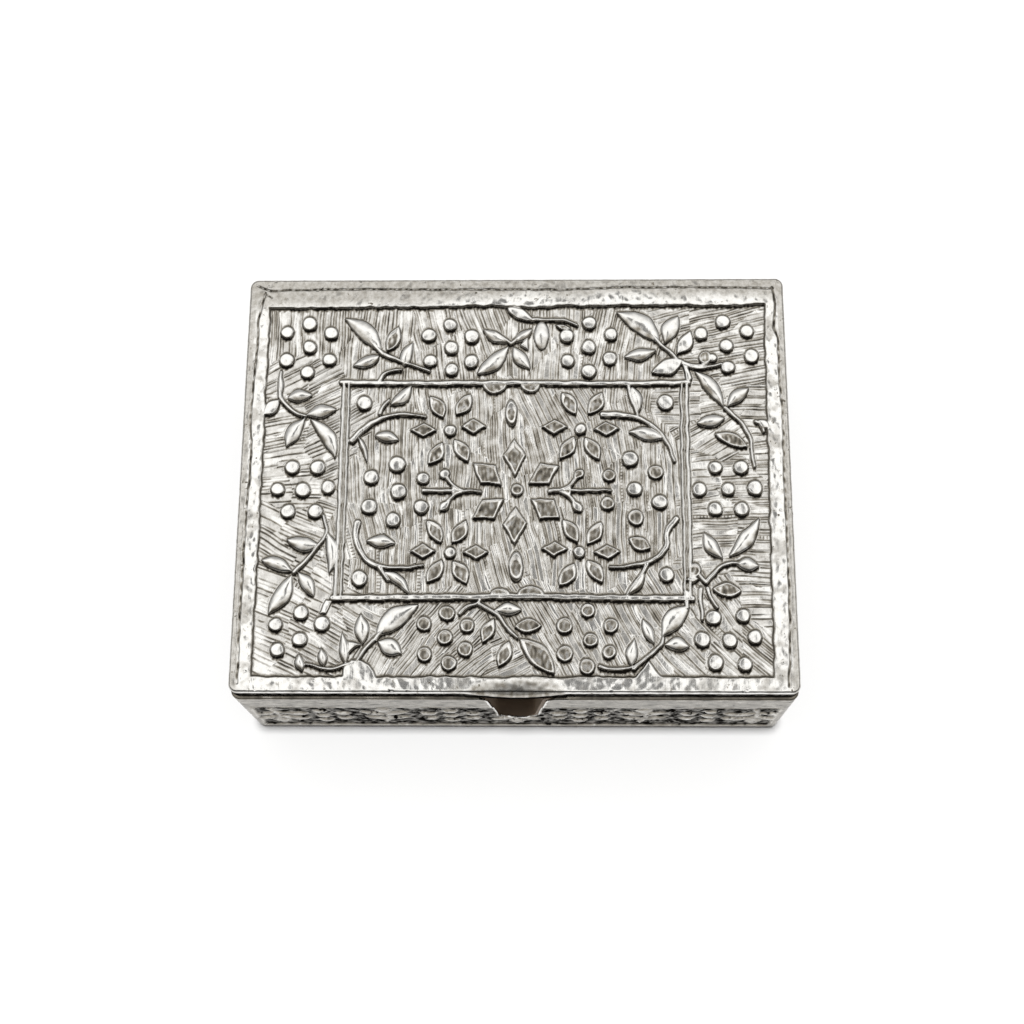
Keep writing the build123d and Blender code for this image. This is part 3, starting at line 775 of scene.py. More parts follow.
@dataclass(frozen=True)
class HingeRoom:
    """Where the hinges need the sheets cut away: bevelled back edges and two slots."""

    pin_y: float = 38.25
    pin_z: float = 29.4
    lean: float = 54.0
    middles: tuple[float, float] = (-29.0, 29.0)
    slot_half: float = 8.6
    slot_rise: float = 1.5
    metal_back: float = 38.85

    def bevelled(self, y: Array, z: Array) -> Array:
        """Y held in front of the bevel faces, which lean back from the pin both ways."""
        limit = self.pin_y + np.abs(z - self.pin_z) / math.tan(math.radians(self.lean))
        return np.minimum(y, limit)

    def in_slot(self, x: Array, y: Array) -> Array:
        """Whether a column at the back of the box passes through a hinge slot."""
        near = np.zeros(np.shape(x), bool)
        for middle in self.middles:
            near |= np.abs(x - middle) < self.slot_half
        return near & (y > 30)


@dataclass(frozen=True)
class ThumbNotch:
    """The notch in the front wall, which stands a little right of the box's middle."""

    middle: float = 0.5
    corners: tuple[Point, ...] = ((0.0, 10.6), (3.4, 10.6), (5.2, 27.7), (6.7, 29.18), (9.2, 29.2))
    radii: tuple[float, ...] = (2.8, 1.5, 0.5)

    def half(self) -> Array:
        """The notch's right half about its own middle, from its floor up to the rim."""
        return rounded_path(self.corners, self.radii, 14)

    def top(self, x: Array) -> Array:
        """Height of the wall's upper edge at each x: the rim, dipping into the notch."""
        outline = self.half()
        return np.interp(np.abs(x - self.middle), outline[:, 0], outline[:, 1])

    def rim(self, highest: float) -> Array:
        """The notch's whole edge below a height, from left to right."""
        outline = self.half()
        outline = outline[outline[:, 1] < highest]
        return np.vstack([outline[::-1] * (-1, 1), outline]) + (self.middle, 0)


# Each stem: points along it, in mm from the lid's middle.
STEMS = (
    [(-16.7, -1.6), (-10.5, -1.7), (-6.3, -1.8)],
    [(6.2, -1.7), (11, -1.6), (17.2, -1.6)],
    [(-12.6, 0.9), (-11.2, -0.9), (-9.4, -1.7)],
    [(-12.6, -4.2), (-11.4, -2.6), (-9.4, -1.8)],
    [(11, 0.6), (9.8, -0.9), (8, -1.6)],
    [(11, -4.1), (9.9, -2.6), (8, -1.8)],
    [(-25, 13.2), (-24.6, 14.6), (-23.4, 15.9)],
    [(-25.4, 19.6), (-24.6, 20.9), (-23, 21.8), (-21.3, 21.9)],
    [(20.8, 18.4), (21.4, 15.6), (22.4, 12.8)],
    [(-24.2, -16), (-23.4, -17.4), (-22.6, -18.4)],
    [(23.6, -15.4), (22.6, -17.2), (21, -19.2), (20, -21)],
    [(-24.8, 25), (-20.5, 23.2), (-16, 21.6)],
    [(-24.8, 25), (-26.8, 27.2), (-28.6, 29.8)],
    [(-0.9, 27.1), (-2.4, 28.3), (-4, 29.2)],
    [(-0.9, 27.1), (0.6, 28.4), (2, 29.4)],
    [(3, 31.8), (6.6, 31.7), (8.4, 31.9), (10, 31.4), (11.3, 30.7)],
    [(30.9, 22.9), (32.9, 22.1), (36, 22.3), (38, 22.9)],
    [(28.8, 25), (30.5, 23.2), (33, 22.4), (35.5, 22.8), (36, 24.5)],
    [(27.1, 26.6), (25.4, 28.6), (23.8, 30.6)],
    [(27.1, 26.6), (28.6, 25.2), (30.5, 23.2)],
    [(-43.5, 16.5), (-42.4, 14.8), (-40.5, 13.2), (-38.7, 12.8)],
    [(-43.5, 16.5), (-43.9, 19), (-43.7, 21.5)],
    [(-39.6, -16.9), (-37.6, -15), (-36, -13), (-34.4, -10.6), (-33.8, -9), (-34.6, -6.3)],
    [(-25, -29.4), (-26.6, -31.2), (-27.7, -33)],
    [(-24.7, -29.3), (-23.2, -27.4), (-21.6, -26)],
    [(-9.7, -24.5), (-8.5, -23.2), (-6.5, -22.8), (-6, -21.8)],
    [(-6.2, -22.8), (-4, -24), (-2.5, -25.3), (-1, -27.5), (0.5, -28.8)],
    [(20.9, -34.4), (23, -32.5), (25.8, -30.3), (26.2, -28.8)],
    [(15, -34.1), (17.4, -34.6), (19.5, -34.4), (21, -34)],
    [(34.2, -19.9), (34.8, -21.8), (35.9, -23.4)],
    [(38.4, 14.3), (41.3, 11.5), (43, 8.5), (42.9, 6), (43.3, 3)],
    [(44, 11.5), (44.9, 11.2), (45.4, 9.6)],
    [(34, -18.8), (36.5, -15.8), (39, -15), (40.6, -15.4)],
    [(33, -20), (33, -22), (33.2, -25.5)],
    [(34, -18.8), (32.7, -17.2), (32.3, -16.1)],
)

# Each leaf: base, tip, width, how it is worked, its bow and where it is widest.
VEINED, RINGED, PLATED = Work.LEAF, Work.RIMMED, Work.PLATE
LEAVES = (
    # panel: along the four arcs and the side branches
    ((-25.8, 8.9), (-21.4, 8.1), 2.4, VEINED, 0.05, 0.45),
    ((-28.9, 8.6), (-27.1, 3.8), 1.2, VEINED, 0.06, 0.4),
    ((-23.2, 14.9), (-19.2, 18.7), 2.5, VEINED, -0.08),
    ((27, 8.3), (20.7, 9.6), 2.7, VEINED, -0.05),
    ((21.4, 18.4), (22.2, 12.8), 2, VEINED, 0.1, 0.4),
    ((-26.9, -11.2), (-21.4, -11.5), 2.5, VEINED, 0.03),
    ((-23.5, -16.9), (-18.7, -21), 2, VEINED, 0.1, 0.45),
    ((24.3, -12.6), (20.4, -10.7), 2.7, RINGED),
    ((23, -16.6), (19.8, -21.2), 1.7, VEINED, 0.1, 0.45),
    ((-11.6, -3.4), (-13.7, -5.7), 1.8, PLATED, 0, 0.55),
    ((10.6, 0.2), (12.2, 2.4), 1.9, RINGED, 0, 0.6),
    ((10.3, -3.2), (11.9, -5.9), 1.9, PLATED, 0, 0.6),
    # back band, left sprig
    ((-25.2, 25.3), (-32.2, 32.2), 3.4, VEINED, -0.1),
    ((-24.2, 25.4), (-22, 30.6), 2.7, RINGED, -0.04),
    ((-25.4, 24.7), (-30.4, 22.7), 2.4, VEINED, 0.05, 0.45),
    ((-20.9, 22.7), (-19.3, 27.4), 2.5, VEINED, 0.04, 0.4),
    # back band, middle sprig
    ((-1.2, 27.3), (-6.2, 30), 2.2, VEINED, 0.05),
    ((-0.6, 27.4), (3, 30.1), 2, VEINED, -0.05),
    ((-1.3, 26.6), (-7.4, 20.9), 3, VEINED, 0.06),
    ((-0.5, 26.5), (2.6, 22), 2.6, VEINED, -0.05),
    ((-1.7, 34.2), (3.6, 31.5), 2.3, PLATED, 0, 0.4),
    ((7.2, 30.7), (10.3, 29.9), 1.3, RINGED),
    # back band, right sprig
    ((26.8, 26.9), (18.8, 33.3), 4, VEINED, -0.1),
    ((27.7, 27), (30.3, 32.6), 3.3, VEINED, 0.06),
    ((29.8, 24.9), (32.4, 29.6), 2.9, PLATED, -0.1),
    ((25.9, 25.7), (20, 24.4), 2.6, VEINED, 0.05),
    ((30.8, 23.8), (25, 21.2), 3.3, PLATED, 0.05, 0.45),
    # left band, upper sprig
    ((-43.4, 16.8), (-43.9, 21.7), 1.2, VEINED, 0, 0.4),
    ((-42.2, 16.3), (-37.6, 16.9), 2.7, VEINED, 0.06, 0.45),
    ((-43.6, 16), (-46.6, 12.8), 2.6, PLATED),
    ((-38.6, 13), (-33, 14.1), 2.8, VEINED, 0.03),
    ((-38.6, 12.6), (-42, 6.8), 2.9, VEINED, -0.06, 0.55),
    ((-37.8, 12.2), (-32.8, 4.6), 2.8, VEINED, 0.1),
    # left band, lower sprig
    ((-39.9, -16.7), (-45.6, -14.6), 2.6, VEINED, -0.05),
    ((-39.9, -17.3), (-43.9, -24.6), 3.1, VEINED, 0.06),
    ((-38.9, -16.9), (-35.8, -21.4), 2.5, VEINED, 0.05),
    ((-35, -12.1), (-41.2, -10.8), 2.9, VEINED, 0.05),
    ((-34, -9.2), (-33.2, -17.2), 2.3, VEINED, 0.1),
    # front band, left sprig
    ((-26.8, -29.9), (-27.3, -24.6), 2.6, VEINED),
    ((-24.3, -28.4), (-17.1, -22.9), 3.9, VEINED, 0.06, 0.45),
    ((-24.2, -29.6), (-19.7, -31.8), 3, VEINED, 0.03),
    ((-29.7, -33.6), (-30.5, -28), 1.8, VEINED, 0, 0.45),
    ((-33.5, -34), (-34.1, -30.8), 1.8, VEINED, 0, 0.45),
    ((-37.3, -34.9), (-38, -31.8), 1.9, VEINED, 0.05, 0.45),
    # front band, middle sprig
    ((-3.7, -24), (1.2, -23.8), 2.4, VEINED, 0.05),
    ((0, -27), (4.9, -26.7), 2.7, RINGED, 0.03),
    ((-3.6, -25.4), (-5.7, -29.8), 2.5, RINGED),
    ((-0.8, -29.4), (-2.7, -34.2), 2.6, RINGED),
    ((0.8, -29), (7, -35.4), 3.7, RINGED, 0.05),
    # front band, right sprig
    ((24.7, -30.1), (22.6, -25.4), 2, VEINED),
    ((26, -28.6), (31, -23.1), 3.5, VEINED, 0.07),
    ((26.3, -30), (30.9, -30.4), 2.7, VEINED, 0.05),
    ((20.6, -33.8), (21.2, -29.1), 2.3, VEINED, 0.05, 0.45),
    # right band, upper sprig
    ((38.1, 14.6), (33, 21.6), 2.7, VEINED, -0.06),
    ((38.9, 14.6), (42.8, 18.1), 2.5, VEINED, 0.05),
    ((38.3, 12.3), (33.1, 11.3), 2.6, VEINED, 0.03),
    ((42.3, 6.5), (36.2, 9.2), 2.6, RINGED, -0.05),
    ((44.4, 11.9), (46.4, 10), 1.8, PLATED),
    # right band, lower sprig
    ((37.1, -14.4), (33.8, -9.6), 2.6, VEINED, 0.05),
    ((38.2, -14.1), (43.9, -6.8), 2.8, VEINED, -0.06),
    ((39.4, -15.3), (43.6, -15.9), 2.6, VEINED, 0.03),
    ((35, -19.9), (40.3, -20.4), 2.9, RINGED),
    ((32.9, -18.2), (30.4, -18.3), 1.6, PLATED),
)

# Each patch of tool marks: x, y, and its lean in degrees rightwards from front-back.
MARKS = (
    (-43, 28, 0), (-36, 28, 0), (-28, 23, 2), (-24, 32, 3), (-15, 31, -15), (-6, 31, -19),
    (-12, 24, -8), (3, 27, 0), (8, 22, 3), (7, 33.5, 0), (18, 27, 12), (22, 23, 5), (24, 29, 10),
    (28, 33.5, 75), (37, 32, 76), (40, 26, 80), (40, 20, 78), (42, 15, 90),
    (-40, 21.5, 60), (-35, 20, 62), (-34, 17.5, 63), (-44, 11, 80), (-44, 8, 82), (-42, 5, 82),
    (-40, 2, 83), (-44, -1, 88), (-36, -1, 90), (-34, 4, 65), (-32.5, 10, 60), (-34, -3, -75),
    (-44, -7, -62), (-40, -9, -68), (-44, -12, -60), (-44, -18, -70), (-38, -18, -62),
    (-35, -20, -62), (-42, -24, -68), (-35, -25, -62), (-44, -30, -66), (-38, -32, -66),
    (-33, -27, -58), (-28, -24, -60), (-20, -28, 38), (-24, -33, 30), (-18, -32, 35),
    (-15, -24, 38), (-9, -28, 42), (-7, -33, 50), (-3, -34, 65), (0, -24, -28), (5, -24, -28),
    (5, -29, -30), (9, -29, -28), (13, -27, -28), (17, -30, -25), (20, -25, -28), (24, -23, -30),
    (24, -33, -40), (30, -33, -45), (33, -26, -42), (38, -31, -45), (43, -31, -48),
    (43, 12, 90), (36, 18, 78), (33, 18, 88), (38, 9, 57), (44, 8, 88), (44, 5, 90), (40, 1, 88),
    (34, 1, 85), (33, -2, 82), (36, -7, 88), (44, -6, 90), (44, -10, 92), (33, -12, 85),
    (44, -17, 92), (44, -22, 92), (32, -21, -30), (36, -23, -35),
    (-28, 0, -5), (-24, 5, 0), (-17, 0, -3), (-10, 0, 0), (-6, 12, -2), (-2, 10, -3), (5, 14, -25),
    (8, 14, -28), (6, 8, -12), (10, 3, -5), (15, 5, -10), (18, 8, -12), (22, 3, 0), (28, 0, -3),
    (28, -10, 0), (20, -12, 0), (12, -14, 0), (5, -12, -12), (0, -12, -12), (-3, -15, -15),
    (-8, -10, -3), (-15, -15, 0), (-24, -18, 0), (-28, -8, -15),
)


@dataclass
class LidDrawing:
    """The design embossed on the lid, as a craftsman would set it out, in mm from the middle.

    Groups of seven dots and leafy sprigs stand round a framed panel, in which a six-petalled
    star, four rosettes and curved stems are set.
    """

    shift: Point = (0.12, -0.43)
    tighten: float = 0.995
    dot_radius: float = 1.38
    panel_dot_radius: float = 1.5
    dot_height: float = 0.44
    leaf_height: float = 0.42
    stem_height: float = 0.36
    stem_width: float = 0.9
    arc_width: float = 1.25
    petal_height: float = 0.42
    field_left: float = -46.0
    field_right: float = 45.6
    field_back: float = 34.3
    field_front: float = -35.7

    def moved(self, points: list[Point]) -> list[Point]:
        """Points of the drawing in the box's own frame."""
        return [(self.tighten * x + self.shift[0], self.tighten * y + self.shift[1]) for x, y in points]

    def draw(self, relief: Relief) -> None:
        """Emboss the whole design, from the large shapes to the small."""
        for draw in (self.draw_frame, self.draw_star, self.draw_rosettes, self.draw_dots, self.draw_stems,
                     self.draw_leaves):
            draw(relief)

    def draw_frame(self, relief: Relief) -> None:
        """Raise the panel's frame: one rib along the back and front, two at each side."""
        for points, width in (
            ([(-31.9, 19.4), (-31.8, 5), (-31.9, -9), (-32, -21.6)], 0.8),
            ([(-30.9, 19), (-30.8, 5), (-30.9, -9), (-31, -21.4)], 0.6),
            ([(31.5, 19.3), (31.3, 6), (31.4, -8), (31.2, -21.6)], 0.8),
            ([(30.5, 19), (30.3, 6), (30.4, -8), (30.2, -21.4)], 0.6),
            ([(-32.3, 19.4), (-20, 19.1), (-6, 19.2), (0, 19.2), (14, 19), (31.8, 19.2)], 1.1),
            ([(-32.4, -21.7), (-20, -21.6), (-6, -21.5), (4, -21.3), (18, -21.7), (31.6, -21.7)], 1.2),
        ):
            relief.stem(self.moved(points), width, 0.36, end=1)
        for x, y, half_x, half_y, kept in (
            (-3.9, 19.2, 2.3, 2.1, -1), (2.7, 19, 2, 1.7, -1), (-2.6, -21.3, 2, 1.5, 1),
            (2.9, -21.3, 2.6, 1.9, 1),
        ):
            (place,) = self.moved([(x, y)])
            relief.oval(*place, half_x, half_y, 0.34, Work.RIMMED, kept)

    def draw_star(self, relief: Relief) -> None:
        """Raise the six-petalled star and its ringed middle."""
        for corners in (
            [(-0.2, 8.4), (-2.3, 5), (-0.1, 0.9), (2, 5)],
            [(-7.9, 3.7), (-3.4, 3.2), (-2.5, -0.7), (-6.4, -0.3)],
            [(4.4, 3.7), (8.1, 3.1), (6.2, -0.5), (2.2, -0.5)],
            [(-6.1, -3.3), (-1.9, -3.1), (-3.7, -7.1), (-7.8, -7)],
            [(2.7, -3.1), (7.2, -3.3), (8.1, -6.9), (4.4, -7.2)],
            [(0.1, -4.6), (2.3, -7.9), (-0.1, -11.9), (-2.3, -8)],
        ):
            relief.facet(self.moved(corners), self.petal_height, Work.RIMMED)
        (middle,) = self.moved([(0.4, -1.5)])
        relief.oval(*middle, 1.15, 1.15, 0.34, Work.RIMMED)
        relief.oval(*middle, 0.5, 0.5, 0.3, Work.STEM)

    def draw_rosettes(self, relief: Relief) -> None:
        """Raise the four rosettes: a dot, two level petals and four slanted ones each."""
        for centre, level_petals, slanted in (
            ((-12, 9.9), [(-16.9, 10), (-7.7, 10.7)],
             [(-14.6, 14.5), (-9.7, 15), (-14.6, 5.5), (-10, 6)]),
            ((11.9, 10.1), [(7.1, 10.6), (16.6, 10.2)],
             [(9.7, 15.1), (14.6, 15.2), (9.4, 6.6), (13.9, 6.3)]),
            ((-11.6, -13.3), [(-16.5, -13), (-7, -13.2)],
             [(-14.6, -9.4), (-10.1, -9.4), (-14.4, -16.7), (-9.9, -17)]),
            ((11.5, -13.2), [(7.1, -12.6), (16.5, -13.2)],
             [(9.8, -9.2), (14.2, -9.6), (9.3, -17.3), (14.2, -16.8)]),
        ):
            (middle,) = self.moved([centre])
            relief.oval(*middle, 1.15, 1.15, self.dot_height, Work.BOSS)
            for x, y in self.moved(level_petals):
                corners = [(x - 2.5, y), (x, y + 1.5), (x + 2.5, y), (x, y - 1.5)]
                relief.facet(corners, self.petal_height, Work.RIMMED)
            for x, y in self.moved(slanted):
                lean = 1.35 if (x > middle[0]) == (y > middle[1]) else -1.35
                relief.leaf((x - lean, y - 2.15), (x + lean, y + 2.15), 2.75, self.petal_height,
                            Work.RIMMED, -0.05)
        for x, y, half_x, half_y in ((-0.8, 13.3, 1.1, 2.6), (0.2, -15.8, 1.35, 2.85)):
            (place,) = self.moved([(x, y)])
            relief.oval(*place, half_x, half_y, self.petal_height, Work.RIMMED)

    def draw_dots(self, relief: Relief) -> None:
        """Raise the round dots: four in the panel's corners and the groups of seven."""
        panel_domed = [
            (-27.9, 15.3), (27.5, 15.3), (-27.8, -18.1), (27, -17.4),
            (-21.6, 3.4), (-26.2, 0.9), (-21.2, -1.8), (-26.4, -4.7), (-22, -7.2),
            (20.8, 4.3), (21.6, -1.4), (26.1, -3.8),
        ]
        panel_ringed = [(25.5, 1.8), (21.7, -6.8)]
        panel_small = [(-16.8, 0.6), (-17, -4.8)]
        panel_small_ringed = [(17, 1.2), (16.7, -4.1)]
        outer_domed = [
            (-42.8, 29.4), (-38.7, 31.1), (-34.6, 29.2), (-38.5, 26.4), (-42.7, 23.8), (-34.7, 23.9),
            (-38.7, 21.4), (-16.3, 28.7), (-12.3, 30.8), (-8.3, 28.5), (-12, 26.2), (-15.9, 23.6),
            (-8.3, 23.5), (-11.9, 21.8), (9.4, 28.5), (13.6, 31.1), (17.6, 28.8), (13.5, 26.3),
            (9.6, 23.6), (17.4, 24), (13.5, 21.5), (34.4, 29), (38.5, 31.3), (42.9, 29.4),
            (39, 26.5), (43.6, 24.4), (39.2, 22.3),
            (-40.7, 2.8), (-36.1, 2.8), (-43.2, -1.4), (-38.6, -1.5), (-34, -1), (-41.1, -5.6),
            (-36.1, -5.6), (36.3, 2.7), (40.9, 2.7), (33.3, -1.4), (38.5, -1.4), (43.3, -1.2),
            (36, -5.2), (40.8, -5.2),
            (-38, -24.4), (-42.4, -26.6), (-34.1, -26.4), (-38, -29.2), (-41.9, -31.1),
            (35.1, -25.2), (40.4, -24.9), (33.1, -29.2), (37.9, -29.3), (42.3, -28.7), (35.3, -33.3),
            (40.4, -33.6),
        ]
        outer_ringed = [
            (35, 24.1), (-12, -24.4), (-16, -26.4), (-8.4, -26.7), (-12.3, -28.8), (-15.8, -31.9),
            (-8.6, -31), (-11.5, -33.4), (12.95, -23.9), (8.8, -26.7), (17, -26.7), (13.4, -29.3),
            (8.9, -31.7), (16.7, -31.4), (12.8, -34),
        ]
        for places, radius, work in (
            (panel_domed, self.panel_dot_radius, Work.BOSS),
            (panel_ringed, self.panel_dot_radius, Work.RIMMED),
            (panel_small, 1.3, Work.BOSS),
            (panel_small_ringed, 1.3, Work.RIMMED),
            (outer_domed, self.dot_radius, Work.BOSS),
            (outer_ringed, self.dot_radius, Work.RIMMED),
        ):
            relief.dots(self.moved(places), radius, self.dot_height, work)

    def draw_stems(self, relief: Relief) -> None:
        """Raise the stems: the panel's four arcs and side branches, and the sprigs' stalks."""
        for points in (
            [(-30, 8), (-28.2, 10), (-26, 11.7), (-24, 12.6), (-21, 13.2), (-16.6, 12.7)],
            [(16, 13), (19, 13), (21.5, 12.6), (24, 11.7), (26.5, 9.3), (28, 7), (28.9, 4)],
            [(-28.4, -7.6), (-28.9, -10.5), (-28, -12.5), (-26.5, -15), (-24, -16), (-20, -16.2),
             (-16.5, -15.6)],
            [(29, -7), (27.6, -8.5), (27.1, -10.3), (27.4, -12.1), (25, -14.8), (20, -16),
             (17, -16)],
        ):
            relief.stem(self.moved(points), self.arc_width, self.stem_height, end=0.5)
        for points in STEMS:
            relief.stem(self.moved(points), self.stem_width, self.stem_height, end=0.75)
        for points, width in (
            ([(-28.4, -33.4), (-29.9, -33.8), (-31.6, -34.5), (-33.6, -34.5), (-35.6, -33.8),
              (-36.6, -33.6)], 0.9),
            ([(30.4, -20.8), (30.5, -23.5)], 1.3),
            ([(31.9, 20), (31.6, 21.6), (30.8, 23.4)], 1.3),
        ):
            relief.stem(self.moved(points), width, 0.34, end=0.6)
        for x, y, half_x, half_y, work in (
            (-12.9, 1.5, 1, 1, Work.BOSS), (32.1, -16.6, 1.1, 1.4, Work.RIMMED),
            (36.4, 24.1, 0.9, 0.9, Work.BOSS), (4.7, 28.6, 1.45, 2.9, Work.LEAF),
        ):
            (place,) = self.moved([(x, y)])
            relief.oval(*place, half_x, half_y, 0.4, work)
        for corners, height, work in (
            ([(7.6, -1.7), (10.2, -0.7), (10.2, -2.8)], 0.36, Work.RIMMED),
            ([(-8.9, -1.7), (-11.6, -0.8), (-11.6, -2.6)], 0.36, Work.PLATE),
            ([(-29.6, -29.5), (-26.9, -29.9), (-29.4, -31.9)], 0.3, Work.PLATE),
            ([(23.6, -32.8), (20.3, -36.9), (26.6, -36.9)], 0.34, Work.PLATE),
            ([(-30.4, -36.9), (-30.1, -34.2), (-28.7, -32.7), (-27.1, -32.9), (-25.5, -33.7),
              (-24.6, -34.9), (-23.8, -36.9)], 0.34, Work.PLATE),
            ([(0.6, 26.7), (2.3, 28.7), (2.3, 25.6)], 0.3, Work.PLATE),
            ([(-33.7, -21.9), (-32.3, -22.1), (-33.5, -24.6), (-34.9, -24.6)], 0.16, Work.PLATE),
        ):
            relief.facet(self.moved(corners), height, work)

    def draw_leaves(self, relief: Relief) -> None:
        """Raise every leaf: base, tip, width, then its working and how it bows."""
        for base, tip, width, work, *bow in LEAVES:
            relief.leaf(*self.moved([base, tip]), width, self.leaf_height, work, *bow)

    def hatch_seeds(self) -> Array:
        """The lean of the tool marks: rows of x, y, degrees rightwards from front-back, coarseness.

        Marks are finest inside the frame and coarsest along the left.
        """
        rows = np.array(MARKS, float)
        x, y = rows[:, 0], rows[:, 1]
        inside = (np.abs(x) < 31) & (y < 19) & (y > -21.5)
        coarse = np.where(inside, 1.0, 1.15)
        coarse = np.where(~inside & (y < -21.5), 1.25, coarse)
        coarse = np.where(~inside & (x < -31) & (y < 22), 1.4, coarse)
        coarse = np.where(~inside & (x < -31) & (y < -5), 1.75, coarse)
        rows[:, :2] += self.shift
        return np.column_stack([rows, coarse])

    def beyond_field(self, relief: Relief) -> Array:
        """How far each sample lies outside the embossed field, with its wavering edge."""
        x, y = relief.x - self.shift[0], relief.y - self.shift[1]
        waver = 0.22 * cloud(relief.x, relief.y, 6.0, relief.seed + 20)
        waver = waver + 0.12 * cloud(relief.x, relief.y, 1.4, relief.seed + 21)
        sides = np.maximum(self.field_left - x, x - self.field_right - 0.012 * y)
        ends = np.maximum(y - self.field_back - 0.004 * x, self.field_front - y)
        return np.maximum(sides, ends) + waver


@dataclass
class LidSheet:
    """The metal sheet over the lid: embossed top, rolled edges, and a fold underneath.

    Attributes:
        outline: The lid's outline seen from above.
        bottom: Underside of the fold, in mm.
        top: Level of the plain border.
        ground: Level of the embossed ground between the tool marks.
        roll: Radius of the rolled edge.
        turn: Radius where the sheet turns under.
        thickness: Thickness of the sheet.
        fold: How far the sheet reaches under the lid.
        cell: Spacing of the samples, about a quarter of the tool marks' pitch.
        spare: Samples beyond the tiles on each side, which the rim reads.
        pitch: Mean pitch of the tool marks.
    """

    outline: Outline = Outline(49.9, -39.0, 39.5, 1.6)
    room: HingeRoom = HingeRoom()
    drawing: LidDrawing = field(default_factory=LidDrawing)
    bottom: float = 29.6
    top: float = 33.0
    ground: float = 32.66
    roll: float = 0.5
    turn: float = 0.35
    thickness: float = 0.4
    fold: float = 3.6
    cell: float = 0.124
    spare: int = 14
    pitch: float = 0.52
    mark_depth: float = 0.16
    lip_middle: float = 0.5
    lip_half: float = 9.5
    lip_reach: float = 0.5
    lip_droop: float = 0.62
    lip_width: float = 3.3
    relief: Relief = field(init=False)
    level: Array = field(init=False)
    stain: Array = field(init=False)
    sunk: Array = field(init=False)

    def emboss(self) -> None:
        """Work the whole top as one height field, and find where the stain stays and where shade is painted.
        """
        inset, spare = self.outline.radius, self.spare
        width = 2 * (self.outline.half_x - inset)
        depth = self.outline.back - self.outline.front - 2 * inset
        count_x, count_y = int(round(width / self.cell)), int(round(depth / self.cell))
        step_x, step_y = width / count_x, depth / count_y
        xs = -(self.outline.half_x - inset) + step_x * np.arange(-spare, count_x + spare + 1)
        ys = self.outline.front + inset + step_y * np.arange(-spare, count_y + spare + 1)
        relief = Relief(xs, ys, seed=11)
        relief.hatch(self.drawing.hatch_seeds(), self.pitch, self.mark_depth)
        self.drawing.draw(relief)
        beyond = self.drawing.beyond_field(relief)
        bare = 1 - smooth(relief.raised / 0.1)
        relief.border(beyond, self.top - self.ground, 0.4)
        self.wear_border(relief, beyond)
        self.sunk = self.lip(relief.plain_x, relief.plain_y - self.outline.front)
        # front and other carry painted shadow and shade round raised shapes as well as patina
        front, other = relief.foot_patina_and_shadow()
        x, y = relief.x, relief.y
        uneven = 0.8 + 0.35 * cloud(x, y, 2.0, 64)
        scuffed = np.clip(0.85 + 0.9 * cloud(x, y / 2, 0.6, 73), 0.2, 1.4)
        film = 0.22 + 0.80 * relief.lines - 0.28 * relief.rubbed
        # painted shade: front-facing slopes of raised shapes darkened, so each shape reads as lit from behind
        painted_front_shade = smooth((np.gradient(relief.raised, step_y, axis=0) + 0.02) / 0.22) * (relief.raised > 0.08)
        painted_front_shade = painted_front_shade * (beyond < 0.1) * (0.40 + 0.30 * cloud(x, y, 1.7, 72))
        ground = np.maximum(film * (1 - relief.cover), 0.36 * relief.cover * (relief.raised < 0.05))
        self.relief = relief
        self.level = np.minimum(self.ground + relief.heights(), self.top + 0.14) - self.sunk
        # the stain holds real patina and wear together with painted shade and painted reflection
        self.stain = np.clip(np.maximum.reduce([
            ground * uneven, painted_front_shade, front, 0.66 * other, relief.inked * scuffed,
            bare * self.outlined(relief, beyond),
            smooth((beyond - 0.1) / 0.4) * self.tarnish(relief),
        ]), 0, 1)

    @staticmethod
    def outlined(relief: Relief, beyond: Array) -> Array:
        """Stain in the line scored round the field: 0.9 - 0.9 * distance / 0.28, with faint runs."""
        kept = 0.75 + 0.45 * cloud(relief.x, relief.y, 2.2, 66)
        return np.clip(0.9 * (1 - np.abs(beyond - 0.05) / 0.28), 0, 1) * np.clip(kept, 0, 1)

    def lip(self, x: Array, inset: Array) -> Array:
        """How far the front border droops over the notch: r * (1 - (x / a)^2)^1.5 * (1 - inset / w)^2."""
        along = np.clip(1 - ((x - self.lip_middle) / self.lip_half) ** 2, 0, 1) ** 1.5
        return self.lip_droop * along * np.clip(1 - inset / self.lip_width, 0, 1) ** 2

    def tarnish(self, relief: Relief) -> Array:
        """Stain on the plain border: dull outer margins, a painted darker reflection along the back, painted
        mid grey on the drooping lip, pits, and hair-fine marks.
        """
        x, y = relief.x, relief.y
        strip = smooth((np.abs(x) - 48.4) / 0.25)
        # painted reflection: the back margin darkened as if it mirrored dimmer surroundings behind
        back = smooth((y - 35.2 + 1.0 * cloud(x, y, 8.0, 63) + 0.04 * np.abs(x - 20)) / 2.6)
        blotches = smooth((cloud(x, y, 4.5, 67) + 0.6 * cloud(x, y, 1.3, 68) + 0.1) / 0.8)
        blotched = (0.20 + 0.06 * (np.abs(x) > 40)) * blotches
        # painted reflection: mid grey on the drooping lip, in place of the dark that its slope mirrors
        lip_painted_grey = 0.36 * smooth(self.sunk / 0.12) * (0.85 + 0.8 * cloud(x, y, 1.2, 69))
        margin = np.maximum.reduce([0.28 * strip, 0.32 * back, blotched * (y < 34), lip_painted_grey])
        pits = 0.85 * specks(x, y, 0.42, 0.16 + 0.14 * strip, 65)
        marks = 0.35 * specks(x * 2.5, y, 0.8, 0.30, 71)
        return np.maximum.reduce([margin, pits, marks])

